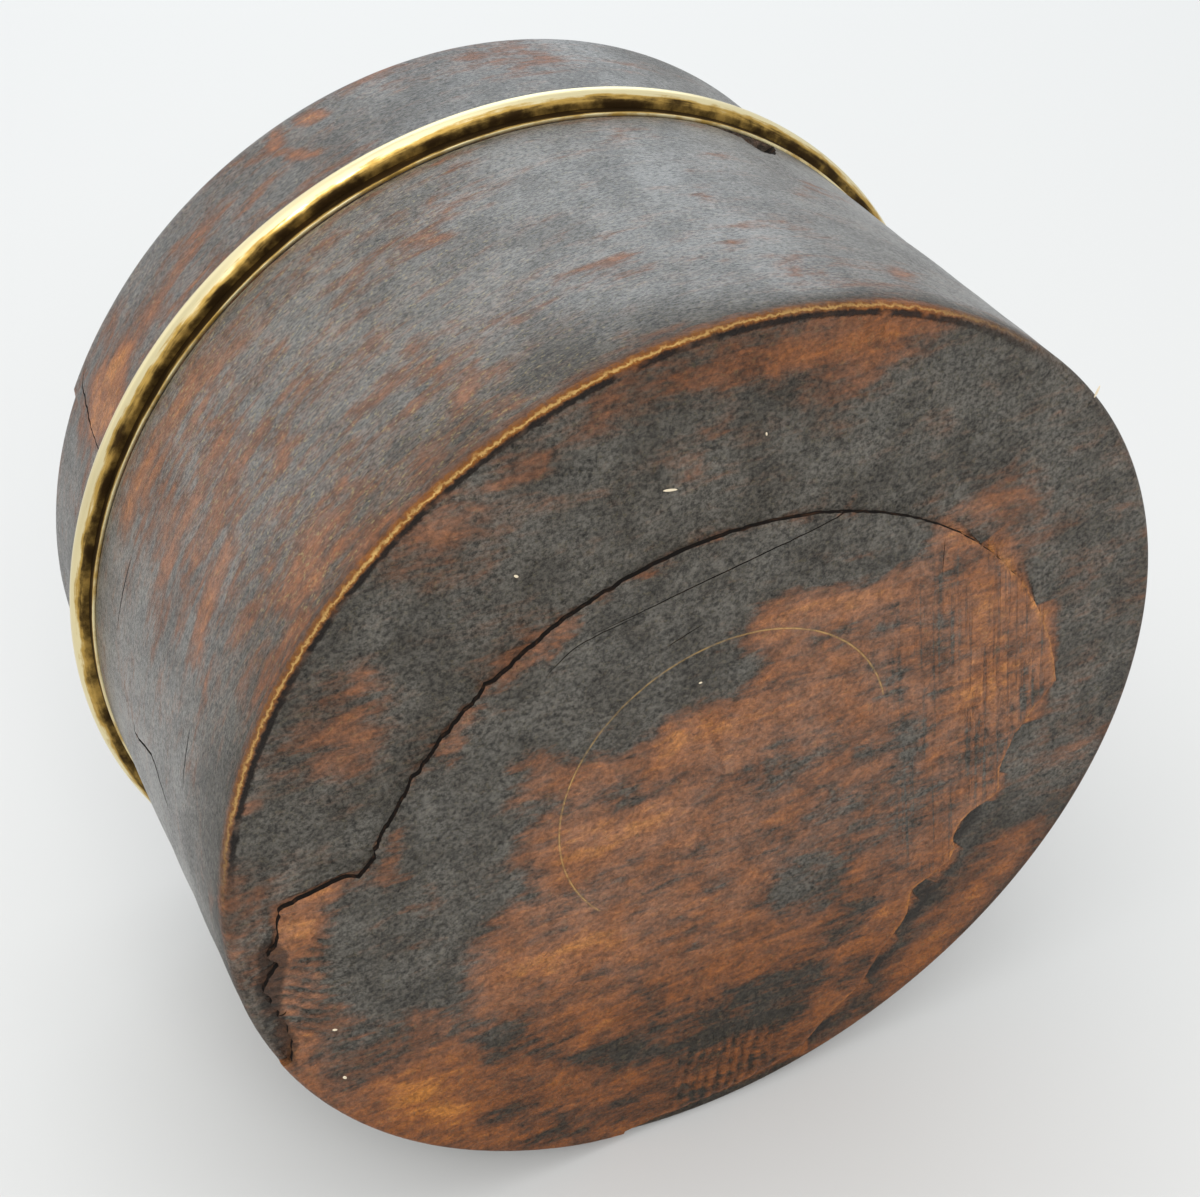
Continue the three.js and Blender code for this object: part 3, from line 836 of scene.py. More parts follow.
def arc(centre, radius, start, end, step=2.0):
    count = max(2, int(abs(end - start) / step))
    angles = [math.radians(start + (end - start) * i / count) for i in range(count + 1)]
    return [Vector((centre[0] + radius * math.cos(a), centre[1] + radius * math.sin(a))) for a in angles]


def angle_of(point):
    return math.degrees(math.atan2(point[1], point[0]))


def field_outline():
    """The raised field's outline, torn on its upper left and only slightly uneven elsewhere."""
    line = arc(FIELD_CENTRE, FIELD_RADIUS, *FIELD_ARC, step=0.6)
    line += spline(FIELD_RIGHT, 5)[:-1]
    far = arc((0, 0), BASE_RADIUS + OUTSIDE, angle_of(FIELD_RIGHT[-1]), angle_of(FIELD_LEFT[0]))
    line += far + spline(FIELD_LEFT, 6)[1:-1]
    ragged = []
    for point in line:
        torn = 0.8 if point.x < -20 and point.y < 30 else 0.22
        shift = noise.noise(Vector((point.x * 0.5, point.y * 0.5, 3.0))) * torn
        shift += noise.noise(Vector((point.x * 1.6, point.y * 1.6, 9.0))) * torn * 0.5
        ragged.append(point + (point - Vector(FIELD_CENTRE)).normalized() * shift)
    return ragged


def signed_distance(places, outline):
    """Distance from each place to an outline in millimetres, positive inside it."""
    corners = [tuple(corner) for corner in outline]
    nearest = np.full(len(places), np.inf)
    inside = np.zeros(len(places), bool)
    for (x0, y0), (x1, y1) in zip(corners, corners[1:] + corners[:1]):
        run = np.array((x1 - x0, y1 - y0))
        offset = places - (x0, y0)
        along = np.clip(offset @ run / max(run @ run, 1e-12), 0, 1)
        nearest = np.minimum(nearest, np.hypot(*(offset - along[:, None] * run).T))
        crosses = (y0 > places[:, 1]) != (y1 > places[:, 1])
        if y1 != y0:
            crosses &= places[:, 0] < (x1 - x0) * (places[:, 1] - y0) / (y1 - y0) + x0
            inside ^= crosses
    return np.where(inside, nearest, -nearest)


def places_of(mesh):
    """The mesh's vertices in millimetres."""
    flat = np.empty(len(mesh.vertices) * 3)
    mesh.vertices.foreach_get("co", flat)
    return flat.reshape(-1, 3) / MM


def radius_of(places):
    return np.hypot(places[:, 0], places[:, 1])


def azimuth_of(places):
    return np.degrees(np.arctan2(places[:, 1], places[:, 0]))


def soft(distance, spread):
    """Rises from 0 to 1 over the spread, and is 0.5 where the distance is 0."""
    return np.clip(0.5 + distance / spread, 0, 1)


def blob(flat, centre, reach):
    """A round spot that is 1 at its centre and fades over the reach."""
    return np.exp(-(((flat - centre) / reach) ** 2).sum(1))


def store(mesh, **masks):
    for name, values in masks.items():
        layer = mesh.attributes.new(name, "FLOAT", "POINT")
        layer.data.foreach_set("value", np.asarray(values, np.float32))


def wavy(places, scale, seed):
    """Smooth noise from -1 to 1 at each place."""
    return np.array([noise.noise(Vector((x * scale[0], y * scale[1], seed))) for x, y in places[:, :2]])


def tool_marks(places):
    """How deep the marks of the tool are at each place, in millimetres."""
    wander = 0.4 * wavy(places, (0.22, 0.22), 5.0)
    ragged = 0.75 + 0.5 * wavy(places, (0.5, 0.5), 7.0)
    depth = np.zeros(len(places))
    for centre, half_sizes, direction, pitch, height in TOOL_MARKS:
        turn = math.radians(direction)
        offset = places[:, :2] - centre
        along = offset @ (math.cos(turn), math.sin(turn))
        across = offset @ (-math.sin(turn), math.cos(turn))
        reach = np.clip(1 - np.hypot(along / half_sizes[0], across / half_sizes[1]) ** 2, 0, 1) ** 0.4
        groove = 0.5 - 0.5 * np.cos(2 * math.pi * (across / pitch + wander))
        depth += height * reach * groove ** 1.5 * np.clip(ragged, 0, 1.2)
    return depth


def field_relief(places, outline):
    """How far the field's surface lies in from its highest plane, in millimetres."""
    flat, relief = places[:, :2], shape().tool_relief
    depth = 0.10 + 0.07 * relief * wavy(places, (0.03, 0.06), 1.7)
    depth += 0.03 * relief * wavy(places, (0.2, 0.6), 8.1) + 0.03 * wavy(places, (0.7, 0.7), 2.1)
    depth += relief * tool_marks(places)
    deepest, centre, reach = FIELD_SUNK
    depth += deepest * blob(flat, centre, reach)
    worn_edge = np.clip(1 - signed_distance(flat, outline), 0, 1)
    on_rim = radius_of(places) > BASE_RADIUS - 2
    return np.clip(depth + np.where(on_rim, 0, 0.3 * worn_edge ** 2), 0.02, 1.1)


def raise_new(bm, made, height):
    """Moves the vertices that an extrusion made up by a height in millimetres."""
    new = [item for item in made["geom"] if isinstance(item, bmesh.types.BMVert)]
    bmesh.ops.translate(bm, verts=new, vec=(0, 0, height * MM))


def flat_slab(centre, size, cell, thickness):
    """A slab of square cells. Its lower side lies at z = 0."""
    slab = bmesh.new()
    segments = [int(side / cell) for side in size]
    bmesh.ops.create_grid(slab, x_segments=segments[0], y_segments=segments[1], size=0.5 * MM)
    bmesh.ops.scale(slab, verts=slab.verts, vec=(*size, 1))
    bmesh.ops.translate(slab, verts=slab.verts, vec=(centre[0] * MM, centre[1] * MM, 0))
    rim = [edge for edge in slab.edges if edge.is_boundary]
    raise_new(slab, bmesh.ops.extrude_edge_only(slab, edges=rim), thickness)
    bmesh.ops.holes_fill(slab, edges=[e for e in slab.edges if e.is_boundary], sides=0)
    bmesh.ops.recalc_face_normals(slab, faces=slab.faces)
    return slab


def prism(outline, low, high):
    solid = bmesh.new()
    face = solid.faces.new([solid.verts.new((p[0] * MM, p[1] * MM, low * MM)) for p in outline])
    raise_new(solid, bmesh.ops.extrude_face_region(solid, geom=[face]), high - low)
    bmesh.ops.recalc_face_normals(solid, faces=solid.faces)
    return solid


def raised_field():
    """The raised field: a slab with its worked surface, trimmed to the outline and to the rim."""
    outline = field_outline()
    top = shape().field_rise / MM + FIELD_ROOT
    slab = to_mesh(flat_slab(*SLAB, top + OUTSIDE), "slab")
    places = places_of(slab)
    lower = places[:, 2] < 1
    places[lower, 2] = field_relief(places[lower], outline)
    slab.vertices.foreach_set("co", (places * MM).ravel())
    slab = carve(slab, to_mesh(prism(outline, -OUTSIDE, top + 1), "prism"), "INTERSECT")
    within = BASE_RADIUS - FIELD_INSET
    section = ((0, -FIELD_INSET), (within, -FIELD_INSET, *BASE_ROUNDING), (within, top), (0, top))
    return carve(slab, to_mesh(lathe(section, lambda radius, height: 20), "disc"), "INTERSECT")


def wall_place(across, height, radius):
    """A place on a wall, from its distance round at the base's radius, its height and its radius."""
    angle = across / BASE_RADIUS
    return Vector((radius * math.cos(angle), radius * math.sin(angle), height)) * MM


def base_place(x, y, depth):
    return Vector((x, y, depth)) * MM


def plug(bm, outline, near, far, place, narrowing=1.0):
    """Adds a closed plug with the outline at two depths, narrowed at the far one."""
    middle = sum(p[0] for p in outline) / len(outline), sum(p[1] for p in outline) / len(outline)
    loops = []
    for depth, scale in ((near, 1.0), (far, narrowing)):
        ring = [bm.verts.new(place(middle[0] + (p[0] - middle[0]) * scale,
                                   middle[1] + (p[1] - middle[1]) * scale, depth)) for p in outline]
        edges = [bm.edges.new(pair) for pair in zip(ring, ring[1:] + ring[:1])]
        bmesh.ops.contextual_create(bm, geom=edges)
        loops += edges
    bmesh.ops.bridge_loops(bm, edges=loops)


def crack_outline(points, half_width, seed):
    """A sliver along a crooked line, pointed at both ends."""
    line = spline(points, 6)
    left, right = [], []
    for i, point in enumerate(line):
        before, after = line[max(i - 1, 0)], line[min(i + 1, len(line) - 1)]
        across = Vector((before.y - after.y, after.x - before.x)).normalized()
        taper = math.sin(math.pi * (i + 0.05) / (len(line) - 0.9)) ** 0.5
        crooked = noise.noise(Vector((point.x * 0.9, point.y * 0.9, seed))) * half_width * 1.5
        left.append(point + across * (crooked + half_width * taper))
        right.append(point + across * (crooked - half_width * taper))
    return left + right[::-1]


def crack_plugs(bm, cracks, near, face, inward, place):
    """Adds a plug for each crack, from near to the crack's depth behind the face of the wood."""
    for seed, (points, half_width, depth) in enumerate(cracks):
        plug(bm, crack_outline(points, half_width, seed), near, face + inward * depth, place)


def chip_outline():
    """The chip's torn outline on the wall, as distances round it and heights."""
    shift = math.radians(CHIP_ANGLE) * BASE_RADIUS
    outline = [(p[0] + shift, p[1] + BODY_HEIGHT) for p in spline(CHIP_OUTLINE, 3)]
    outline = [(outline[0][0], BODY_HEIGHT + 3)] + outline + [(outline[-1][0], BODY_HEIGHT + 3)]
    return [(x + 0.5 * noise.noise(Vector((x, z, 0))), z + 0.4 * noise.noise(Vector((x, z, 4))))
            for x, z in outline]


def body_cutters():
    """One mesh of plugs that cut the body's cracks and its chip."""
    bm = bmesh.new()
    crack_plugs(bm, BASE_CRACKS, -1, shape().field_rise / MM * 0.35, 1, base_place)
    crack_plugs(bm, WALL_CRACKS, BASE_RADIUS + 1, MOUTH_RADIUS + 0.5, -1, wall_place)
    plug(bm, chip_outline(), MOUTH_RADIUS + 2, MOUTH_RADIUS - CHIP_DEPTH, wall_place, CHIP_NARROWING)
    bmesh.ops.recalc_face_normals(bm, faces=bm.faces)
    return to_mesh(bm, "cutters")


def shake(mesh, choose, move):
    """Moves the chosen vertices; both functions work on arrays of places in millimetres."""
    places = places_of(mesh)
    chosen = choose(places)
    places[chosen] = move(places[chosen])
    mesh.vertices.foreach_set("co", (places * MM).ravel())


def on_crescent(places):
    """The turned base's face, without its middle."""
    return (places[:, 2] < shape().field_rise / MM + 0.01) & (radius_of(places) > 1)


def lower_crescent(places):
    """Gives the cut-back crescent the slight unevenness of hand work."""
    inner = np.clip((BASE_RADIUS - 1.5 - radius_of(places)) / 3, 0, 1)
    uneven = 0.12 * wavy(places, (0.05, 0.09), 2.2) + 0.05 * wavy(places, (0.4, 0.55), 6.0)
    places[:, 2] += inner * (0.08 + uneven)
    return places


def on_wall(places):
    """The wall's outside, clear of both its ends."""
    clear = (places[:, 2] > 6) & (places[:, 2] < BODY_HEIGHT - 2)
    return clear & (radius_of(places) > MOUTH_RADIUS - 1)


def uneven_wall(places):
    """Pulls a wall very slightly in and out along its turning."""
    change = np.array([noise.noise(Vector((x * 0.02, y * 0.02, z * 0.12))) for x, y, z in places]) * 0.18
    places[:, :2] *= (1 + change / BASE_RADIUS)[:, None]
    return places


def body_edges(radius, height):
    """The longest edge of the body's section: fine on the outside, longer on the floor and the bore."""
    wall = height > 2 and radius > SPIGOT_RADIUS - 5
    crescent = height < 2 and radius > 50
    return FINE_EDGE if wall or crescent else 6


def box_body():
    rise = shape().field_rise / MM
    section = (
        (0, rise), (BASE_RADIUS, rise, *BASE_ROUNDING), (MOUTH_RADIUS, BODY_HEIGHT, *MOUTH_ROUNDING),
        (SPIGOT_RADIUS, BODY_HEIGHT), (SPIGOT_RADIUS, SPIGOT_TOP, *SPIGOT_ROUNDING),
        (BORE_RADIUS, SPIGOT_TOP, *BORE_ROUNDING), (BORE_RADIUS, BODY_HEIGHT),
        (FLOOR_RADIUS, FLOOR_HEIGHT, *FLOOR_ROUNDING), (0, FLOOR_HEIGHT),
    )
    mesh = to_mesh(lathe(section, body_edges), "box_body_turned")
    shake(mesh, on_crescent, lower_crescent)
    shake(mesh, on_wall, uneven_wall)
    mesh = carve(mesh, raised_field(), "UNION")
    return carve(mesh, body_cutters())


def around(places):
    """Distance round the wall in millimetres, on the side that the photo shows."""
    angle = azimuth_of(places)
    return np.radians(np.where(angle > 90, angle - 360, angle)) * BASE_RADIUS


def streaks(places, lines, level):
    """How far each place on a wall is worn, from its general level and a list of streaks."""
    across = np.stack([around(places), places[:, 2]], 1)
    worn = level.copy()
    for x0, z0, x1, z1, half_width, strength in lines:
        run = np.array((x1 - x0, z1 - z0))
        along = np.clip((across - (x0, z0)) @ run / (run @ run), 0, 1)
        off = np.hypot(*(across - (x0, z0) - along[:, None] * run).T)
        taper = 0.35 + 0.65 * np.sin(math.pi * np.clip(along, 0.02, 0.98))
        worn = np.maximum(worn, level + (strength - level) * soft(half_width * taper - off, 3.5))
    return worn


def graded(flat, patches, level, spread):
    """Patches with soft outlines, each at its own level, over a general level."""
    value = np.full(len(flat), float(level))
    for strength, outline in patches:
        reach = soft(signed_distance(flat, outline), spread)
        value = np.maximum(value, level + (strength - level) * reach)
    return value


def base_reflection_haze(flat):
    """How much painted reflection haze lies on the base: most towards -Y, less in a few places."""
    film = np.interp(flat[:, 1], *REFLECTION_HAZE_LEVELS)
    for less, centre, reach in REFLECTION_HAZE_CLEAR:
        film -= less * blob(flat, centre, reach)
    return film


def field_wear(places, outline):
    """How far the polish is worn on the raised field, with a painted highlight on its lip."""
    flat = places[:, :2]
    dark = np.max([signed_distance(flat, patch) for patch in FIELD_DARK], axis=0)
    warm = np.max([signed_distance(flat, patch) for patch in FIELD_WORN], axis=0)
    least, most = FIELD_LEVELS
    wear = least + (most - least) * soft(np.maximum(-dark, warm), 5.5)
    for strength, patch in FIELD_HALF:
        wear = np.minimum(wear, wear + (strength - wear) * soft(signed_distance(flat, patch), 6))
    wear += graded(flat, GOLDEN, 0, 6.0) * 0.25 - 0.6 * tool_marks(places)
    for change, centre, reach in FIELD_TONES:
        wear += change * blob(flat, centre, reach)
    wear -= 0.07 * np.exp(-((radius_of(flat - KNOT_CENTRE) - KNOT_RADIUS) / 1.6) ** 2)
    # Painted highlight and wear on the field's lip, strongest on one side
    lit = np.interp(azimuth_of(flat - FIELD_CENTRE), *FIELD_EDGE_WEAR_AND_HIGHLIGHT)
    return wear + 0.3 * lit * np.clip(1 - signed_distance(flat, outline) / 1.3, 0, 1)


def wall_wear(places):
    """How far the polish is worn on the wall, with a rubbed strip beside the base."""
    across = around(places)
    strip = np.clip(1 - places[:, 2] / WALL_FOOT_HEIGHT, 0, 1)
    level = np.interp(across, *WALL_LEVELS) + 0.12 * strip * np.interp(across, *WALL_FOOT)
    return streaks(places, WALL_STREAKS, level)


def body_masks(mesh):
    """Stores on the body what its materials read."""
    places = places_of(mesh)
    flat, height = places[:, :2], places[:, 2]
    radius, across = radius_of(places), around(places)
    outline = field_outline()
    on_field = signed_distance(flat, outline) > -0.05
    on_base = (height < BASE_ZONE) & (radius < BASE_RADIUS + 0.2)
    crescent = graded(flat, CRESCENT_WORN, CRESCENT_LEVEL, 9.0) + graded(flat, GOLDEN, 0, 6.0) * 0.2
    base = np.where(on_field, field_wear(places, outline), crescent)
    wall_reflection_haze = np.interp(across, *WALL_REFLECTION_HAZE)
    wall_sheen = np.clip((height - BASE_ZONE) / np.interp(across, *WALL_COAT_HEIGHT), 0, 1)
    # Where the painted shade at the step's foot and the grime in the torn left edge lie
    grime_and_shade_zone = on_base & (~on_field | (flat[:, 0] < -77))
    turn = azimuth_of(flat - SCRIBED_CENTRE)
    scraped = np.interp(flat[:, 0], *SCRAPED_X) * np.interp(flat[:, 1], *SCRAPED_Y)
    store(mesh, worn=np.where(on_base, base, wall_wear(places)),
          mottle=np.where(on_field, 0.80, 0.72), crisp=np.where(on_field, 0.5, 0.2),
          grime=np.where(grime_and_shade_zone, graded(flat, GRIME_AND_SHADE, 0, 3.0), 0),
          film=np.where(on_base, base_reflection_haze(flat), wall_reflection_haze), sheen=np.where(on_base, 0, wall_sheen),
          scraped=scraped * on_field, scribed=((turn < -15) | (turn > 140)) & on_field,
          rim=np.interp(azimuth_of(places), *RIM_WEAR_AND_HIGHLIGHT), speckled=np.interp(across, *WALL_FLECKS),
          edge=np.where(height > 2.5, height - 2.1, radius - BASE_RADIUS + 0.4))


def assign_materials(mesh, materials, choose):
    """Gives each face the material whose number choose returns for its middle and normal."""
    mesh.materials.clear()
    for material in materials:
        mesh.materials.append(material)
    count = len(mesh.polygons)
    middles, normals = np.empty(count * 3), np.empty(count * 3)
    mesh.polygons.foreach_get("center", middles)
    mesh.polygons.foreach_get("normal", normals)
    numbers = choose(middles.reshape(-1, 3) / MM, normals.reshape(-1, 3))
    mesh.polygons.foreach_set("material_index", np.asarray(numbers, np.int32))


def outwardness(middles, normals):
    """1 for a face that looks straight out from the axis, less for the sides of a cut."""
    outward = np.einsum("ij,ij->i", middles[:, :2], normals[:, :2])
    return outward / np.maximum(radius_of(middles), 1e-6)


def body_parts(middles, normals):
    """0 base, 1 wall, 2 inside, 3 broken wood painted dark with shade."""
    radius, height = radius_of(middles), middles[:, 2]
    above = height > BASE_ZONE
    in_wall = radius > SPIGOT_RADIUS + 0.3
    parts = np.where(height < BASE_ZONE, 0, 1)
    parts = np.where(above & (~in_wall | (height > BODY_HEIGHT - 0.05)), 2, parts)
    step = (height < 2.2) & (radius < BASE_RADIUS - 1) & (np.abs(normals[:, 2]) < 0.6)
    sliver = above & (height < BODY_HEIGHT - 0.7) & in_wall & (outwardness(middles, normals) < 0.8)
    wall = BASE_RADIUS + (MOUTH_RADIUS - BASE_RADIUS) * height / BODY_HEIGHT
    near_chip = np.abs(around(middles) - math.radians(CHIP_ANGLE) * BASE_RADIUS) < CHIP_HALF_WIDTH
    below_surface = in_wall & (radius < wall - 0.35) & (height > 5) & (height < BODY_HEIGHT - 0.1)
    return np.where(step | sliver | near_chip & below_surface, 3, parts)


def lid_parts(middles, normals):
    """0 outside, 1 inside, 2 broken wood painted dark with shade."""
    height = middles[:, 2]
    inside = (radius_of(middles) < SPIGOT_RADIUS + 0.6) & (height < LID_TOP - 5)
    side = ~inside & (height > BAND_TOP + 0.5) & (height < LID_TOP - 3)
    return np.where(side & (outwardness(middles, normals) < 0.8), 2, np.where(inside, 1, 0))


def on_lid(places):
    """The lid's side above the brass, and its end face."""
    side = (radius_of(places) > LID_RADIUS - 4) & (places[:, 2] > BAND_TOP + 1)
    return side | (places[:, 2] > LID_TOP - 0.1)


def warp_lid(places):
    """Draws the lid's top out of round, and sinks the piece beyond the crack."""
    angle = azimuth_of(places)
    height = np.clip((places[:, 2] - LID_BOTTOM) / (LID_TOP - LID_BOTTOM), 0, 1)
    change = -shape().lid_warp / MM * np.cos(2 * np.radians(angle - LID_NARROW_ANGLE)) * height
    beyond = (LID_CRACK_ANGLE - angle) % 360
    before = (angle - LID_CRACK_ANGLE) % 360
    change -= 0.55 * np.clip(1 - beyond / 26, 0, 1) * height
    change += 0.25 * np.clip(1 - before / 12, 0, 1) * height * (beyond > 180)
    places[:, :2] *= (1 + change / LID_RADIUS)[:, None]
    return places


def lid_masks(mesh):
    """Stores on the lid what its materials read."""
    places = places_of(mesh)
    across, count = around(places), len(places)
    side = streaks(places, LID_STREAKS, np.interp(across, *LID_LEVELS))
    end = 0.25 + 0.2 * np.clip((radius_of(places) - 70) / 14, 0, 1)
    store(mesh, worn=np.where(places[:, 2] > LID_TOP - 0.2, end, side), edge=np.full(count, NO_EDGE),
          rim=np.zeros(count), film=np.full(count, LID_REFLECTION_HAZE), sheen=np.full(count, LID_COAT),
          speckled=np.interp(across, *WALL_FLECKS))


def lid_edges(radius, height):
    """The longest edge of the lid's section: fine on its side, longer inside and on its end."""
    return FINE_EDGE if radius > LID_RADIUS - 4 else 4


def turned_lid():
    ceiling, socket_top = LID_TOP - LID_THICKNESS, SPIGOT_TOP + SOCKET_ROOM
    socket, rebate = SPIGOT_RADIUS + SPIGOT_CLEARANCE, LID_RADIUS - BAND_REBATE
    section = (
        (0, ceiling), (BORE_RADIUS, ceiling, *CEILING_ROUNDING), (BORE_RADIUS, socket_top),
        (socket, socket_top), (socket, LID_BOTTOM), (rebate, LID_BOTTOM), (rebate, BAND_TOP),
        (LID_RADIUS, BAND_TOP), (LID_TOP_RADIUS, LID_TOP, *LID_TOP_ROUNDING), (0, LID_TOP),
    )
    mesh = to_mesh(lathe(section, lid_edges), "lid_turned")
    shake(mesh, on_lid, warp_lid)
    cutters = bmesh.new()
    crack_plugs(cutters, LID_CRACKS, LID_RADIUS + 3, LID_TOP_RADIUS, -1, wall_place)
    bmesh.ops.recalc_face_normals(cutters, faces=cutters.faces)
    return carve(mesh, to_mesh(cutters, "lid_cracks"))


def brass_band():
    """The flat band, dark with tarnish and painted shade where it shows at the seam under the bead."""
    inner = LID_RADIUS - BAND_THICKNESS
    section = ((inner, BAND_BOTTOM), (LID_RADIUS, BAND_BOTTOM, *BAND_ROUNDING),
               (LID_RADIUS, BAND_TOP, *BAND_ROUNDING), (inner, BAND_TOP))
    band = to_mesh(lathe(section, lambda radius, height: 0.7, closed=True), "band")
    rise = places_of(band)[:, 2] - BAND_BOTTOM
    # Painted shade and tarnish: darkest just under the bead
    store(band, tarnish=np.clip((rise + 0.1) / 0.45, 0.35, 1.0))
    return band


def brass_bead():
    """The half-round bead, dark with tarnish and painted shade along its lower side."""
    width, inner = BEAD_TOP - BEAD_BOTTOM, LID_RADIUS - BEAD_SEAT
    rounding = (width * 0.48, 10)
    section = ((inner, BEAD_BOTTOM), (BEAD_RADIUS, BEAD_BOTTOM, *rounding),
               (BEAD_RADIUS, BEAD_TOP, *rounding), (inner, BEAD_TOP))
    bead = to_mesh(lathe(section, lambda radius, height: 1.2, closed=True), "bead")
    height = (places_of(bead)[:, 2] - BEAD_BOTTOM) / width
    # Painted shade and tarnish on the bead's lower side
    store(bead, tarnish=np.clip(0.78 - 2.6 * height, 0.0, 0.78))
    return bead


def splinters():
    """Little chips of bare wood, each a stretched ball."""
    bm = bmesh.new()
    for (x, y, z), length, width, direction in SPLINTERS:
        turn = Matrix.Rotation(math.radians(direction), 4, "Z")
        size = Matrix.Diagonal((length / 2 * MM, width / 2 * MM, SPLINTER_THICKNESS / 2 * MM, 1))
        bmesh.ops.create_icosphere(bm, subdivisions=2, radius=1,
                                   matrix=Matrix.Translation(Vector((x, y, z)) * MM) @ turn @ size)
    return to_mesh(bm, "splinters")


def make_piece(mesh, name, body, nodes):
    """Makes a piece that rides on a body of the frame and takes the place of the given nodes."""
    piece = new_object(name, mesh)
    mesh.shade_smooth()
    mesh.set_sharp_from_angle(angle=SHARP_ANGLE)
    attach(piece, body)
    if nodes:
        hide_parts(*nodes)


class TURNEDBOX_OT_box_body(bpy.types.Operator):
    """Make the turned box with the raised field under its base"""

    bl_idname = "turnedbox.box_body"
    bl_label = "Box body"

    def execute(self, context):
        mesh = box_body()
        body_masks(mesh)
        assign_materials(mesh, (
            base_material(), wall_material("wall_wood", 0, 0.8), inside_material("inside_wood"),
            shaded_broken_material("broken_wood")), body_parts)
        make_piece(mesh, "turned_body", "box", ["box_body"])
        flakes = splinters()
        flakes.materials.append(splinter_material())
        make_piece(flakes, "caught_splinters", "box", [])
        return {"FINISHED"}


class TURNEDBOX_OT_lid(bpy.types.Operator):
    """Make the turned lid"""

    bl_idname = "turnedbox.lid"
    bl_label = "Lid"

    def execute(self, context):
        mesh = turned_lid()
        lid_masks(mesh)
        assign_materials(mesh, (
            wall_material("lid_wood", 40, 0.35), inside_material("lid_inside"),
            shaded_broken_material("lid_broken")), lid_parts)
        make_piece(mesh, "turned_lid", "lid", ["lid"])
        return {"FINISHED"}


class TURNEDBOX_OT_brass(bpy.types.Operator):
    """Make the brass band and the half-round bead at the lid's mouth"""

    bl_idname = "turnedbox.brass"
    bl_label = "Brass edging"

    def execute(self, context):
        for mesh, name, node in (
                (brass_band(), "brass_band", "rim_band"), (brass_bead(), "brass_bead", "rim_bead")):
            mesh.materials.append(brass_material(name))
            make_piece(mesh, name, "lid", [node])
        return {"FINISHED"}


class TURNEDBOX_OT_stage(bpy.types.Operator):
    """Set up the floor, the light and the camera"""

    bl_idname = "turnedbox.stage"
    bl_label = "Stage"

    def execute(self, context):
        stage = context.scene.turned_box_stage
        place_camera(context.scene)
        lay_floor(stage)
        light_world(context.scene, stage)
        for name, (place, size, colour, setting) in LAMPS.items():
            hang_lamp(name, place, size, colour, getattr(stage, setting))
        context.scene.view_settings.view_transform = "Standard"
        return {"FINISHED"}


def place_camera(scene):
    data = bpy.data.cameras.new("camera")
    data.lens, data.sensor_width = CAMERA_LENS
    data.clip_start = 0.01
    camera = new_object("camera", data)
    turn = Matrix((CAMERA_RIGHT, CAMERA_UP, [-c for c in CAMERA_AHEAD])).transposed().to_4x4()
    camera.matrix_world = Matrix.Translation(Vector(CAMERA_PLACE) * MM) @ turn
    scene.camera = camera


def lay_floor(stage):
    """A pale floor that the box's side lies on. From behind it isn't seen."""
    bm = bmesh.new()
    bmesh.ops.create_grid(bm, x_segments=8, y_segments=8, size=FLOOR_REACH)
    mesh = to_mesh(bm, "floor")
    floor = new_object("floor", mesh)
    rest = Vector((0, BASE_RADIUS, FLOOR_TOUCH))
    across = (Vector((0, BEAD_RADIUS, (BEAD_BOTTOM + BEAD_TOP) / 2)) - rest).normalized()
    up = Vector((1, 0, 0)).cross(across)
    if up.y > 0:
        up.negate()
    turn = Matrix((across.cross(up), across, up)).transposed().to_4x4()
    mesh.transform(Matrix.Translation((rest - up * FLOOR_GAP) * MM) @ turn)
    material = bpy.data.materials.new("pale_floor")
    nodes = empty_nodes(material)
    plain = nodes.add("ShaderNodeBsdfDiffuse", {"Color": stage.floor_colour})
    clear = nodes.add("ShaderNodeBsdfTransparent")
    behind = nodes.add("ShaderNodeNewGeometry").outputs["Backfacing"]
    both = nodes.add("ShaderNodeMixShader", {0: behind, 1: plain.outputs[0], 2: clear.outputs[0]})
    nodes.add("ShaderNodeOutputMaterial", {"Surface": both.outputs[0]})
    mesh.materials.append(material)


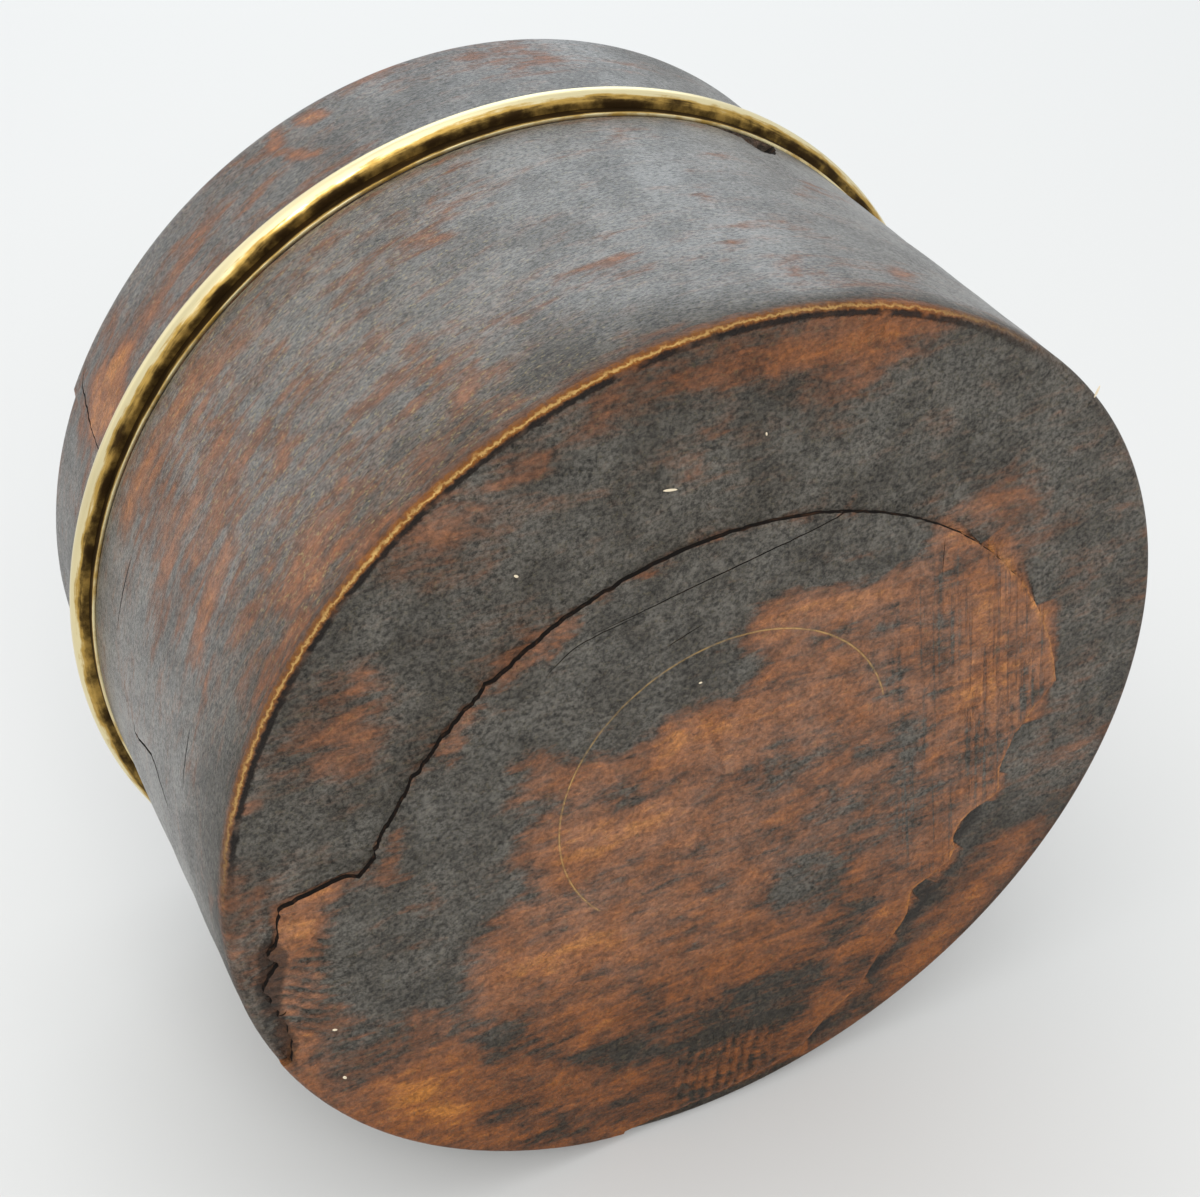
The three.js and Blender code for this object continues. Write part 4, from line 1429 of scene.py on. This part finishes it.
def light_world(scene, stage):
    """Soft light from all round, and a pale background for what the camera and reflections see."""
    scene.world = bpy.data.worlds.new("studio")
    nodes = empty_nodes(scene.world)
    path = nodes.add("ShaderNodeLightPath").outputs
    seen = nodes.math("MAXIMUM", path["Is Camera Ray"], nodes.math(
        "MAXIMUM", path["Is Glossy Ray"], path["Is Transmission Ray"]))
    soft_light = nodes.add("ShaderNodeBackground", {"Color": (1, 1, 1), "Strength": stage.soft_light})
    pale = nodes.add("ShaderNodeBackground", {"Color": BACKGROUND_COLOUR, "Strength": 1.0})
    both = nodes.add("ShaderNodeMixShader", {0: seen, 1: soft_light.outputs[0], 2: pale.outputs[0]})
    nodes.add("ShaderNodeOutputWorld", {"Surface": both.outputs[0]})


def hang_lamp(name, place, size, colour, power):
    """A large flat lamp that faces the box."""
    data = bpy.data.lights.new(name, "AREA")
    data.shape, data.size, data.size_y = "RECTANGLE", *size
    data.energy, data.color = power, colour
    lamp = new_object(name, data)
    lamp.location = place
    lamp.rotation_euler = (-Vector(place)).to_track_quat("-Z", "Y").to_euler()


class TURNEDBOX_PT_panel(bpy.types.Panel):
    """Sizes, finish and stage of the turned box"""

    bl_idname = "TURNEDBOX_PT_panel"
    bl_label = "Turned Box"
    bl_space_type = "VIEW_3D"
    bl_region_type = "UI"
    bl_category = "Turned Box"

    def draw(self, context):
        scene = context.scene
        for group in (scene.turned_box_shape, scene.turned_box_finish, scene.turned_box_stage):
            column = self.layout.column(align=True)
            for name in group.__annotations__:
                column.prop(group, name)
        for operator in OPERATORS:
            self.layout.operator(operator.bl_idname)


OPERATORS = (
    TURNEDBOX_OT_stage,
    TURNEDBOX_OT_box_body,
    TURNEDBOX_OT_lid,
    TURNEDBOX_OT_brass,
)
CLASSES = (TurnedBoxShape, TurnedBoxFinish, TurnedBoxStage, *OPERATORS, TURNEDBOX_PT_panel)


def register():
    for cls in CLASSES:
        bpy.utils.register_class(cls)
    bpy.types.Scene.turned_box_shape = PointerProperty(type=TurnedBoxShape)
    bpy.types.Scene.turned_box_finish = PointerProperty(type=TurnedBoxFinish)
    bpy.types.Scene.turned_box_stage = PointerProperty(type=TurnedBoxStage)


def unregister():
    del bpy.types.Scene.turned_box_stage
    del bpy.types.Scene.turned_box_finish
    del bpy.types.Scene.turned_box_shape
    for cls in reversed(CLASSES):
        bpy.utils.unregister_class(cls)


def main():
    register()
    bpy.ops.turnedbox.stage()
    bpy.ops.turnedbox.box_body()
    bpy.ops.turnedbox.lid()
    bpy.ops.turnedbox.brass()


if __name__ == "__main__":
    main()
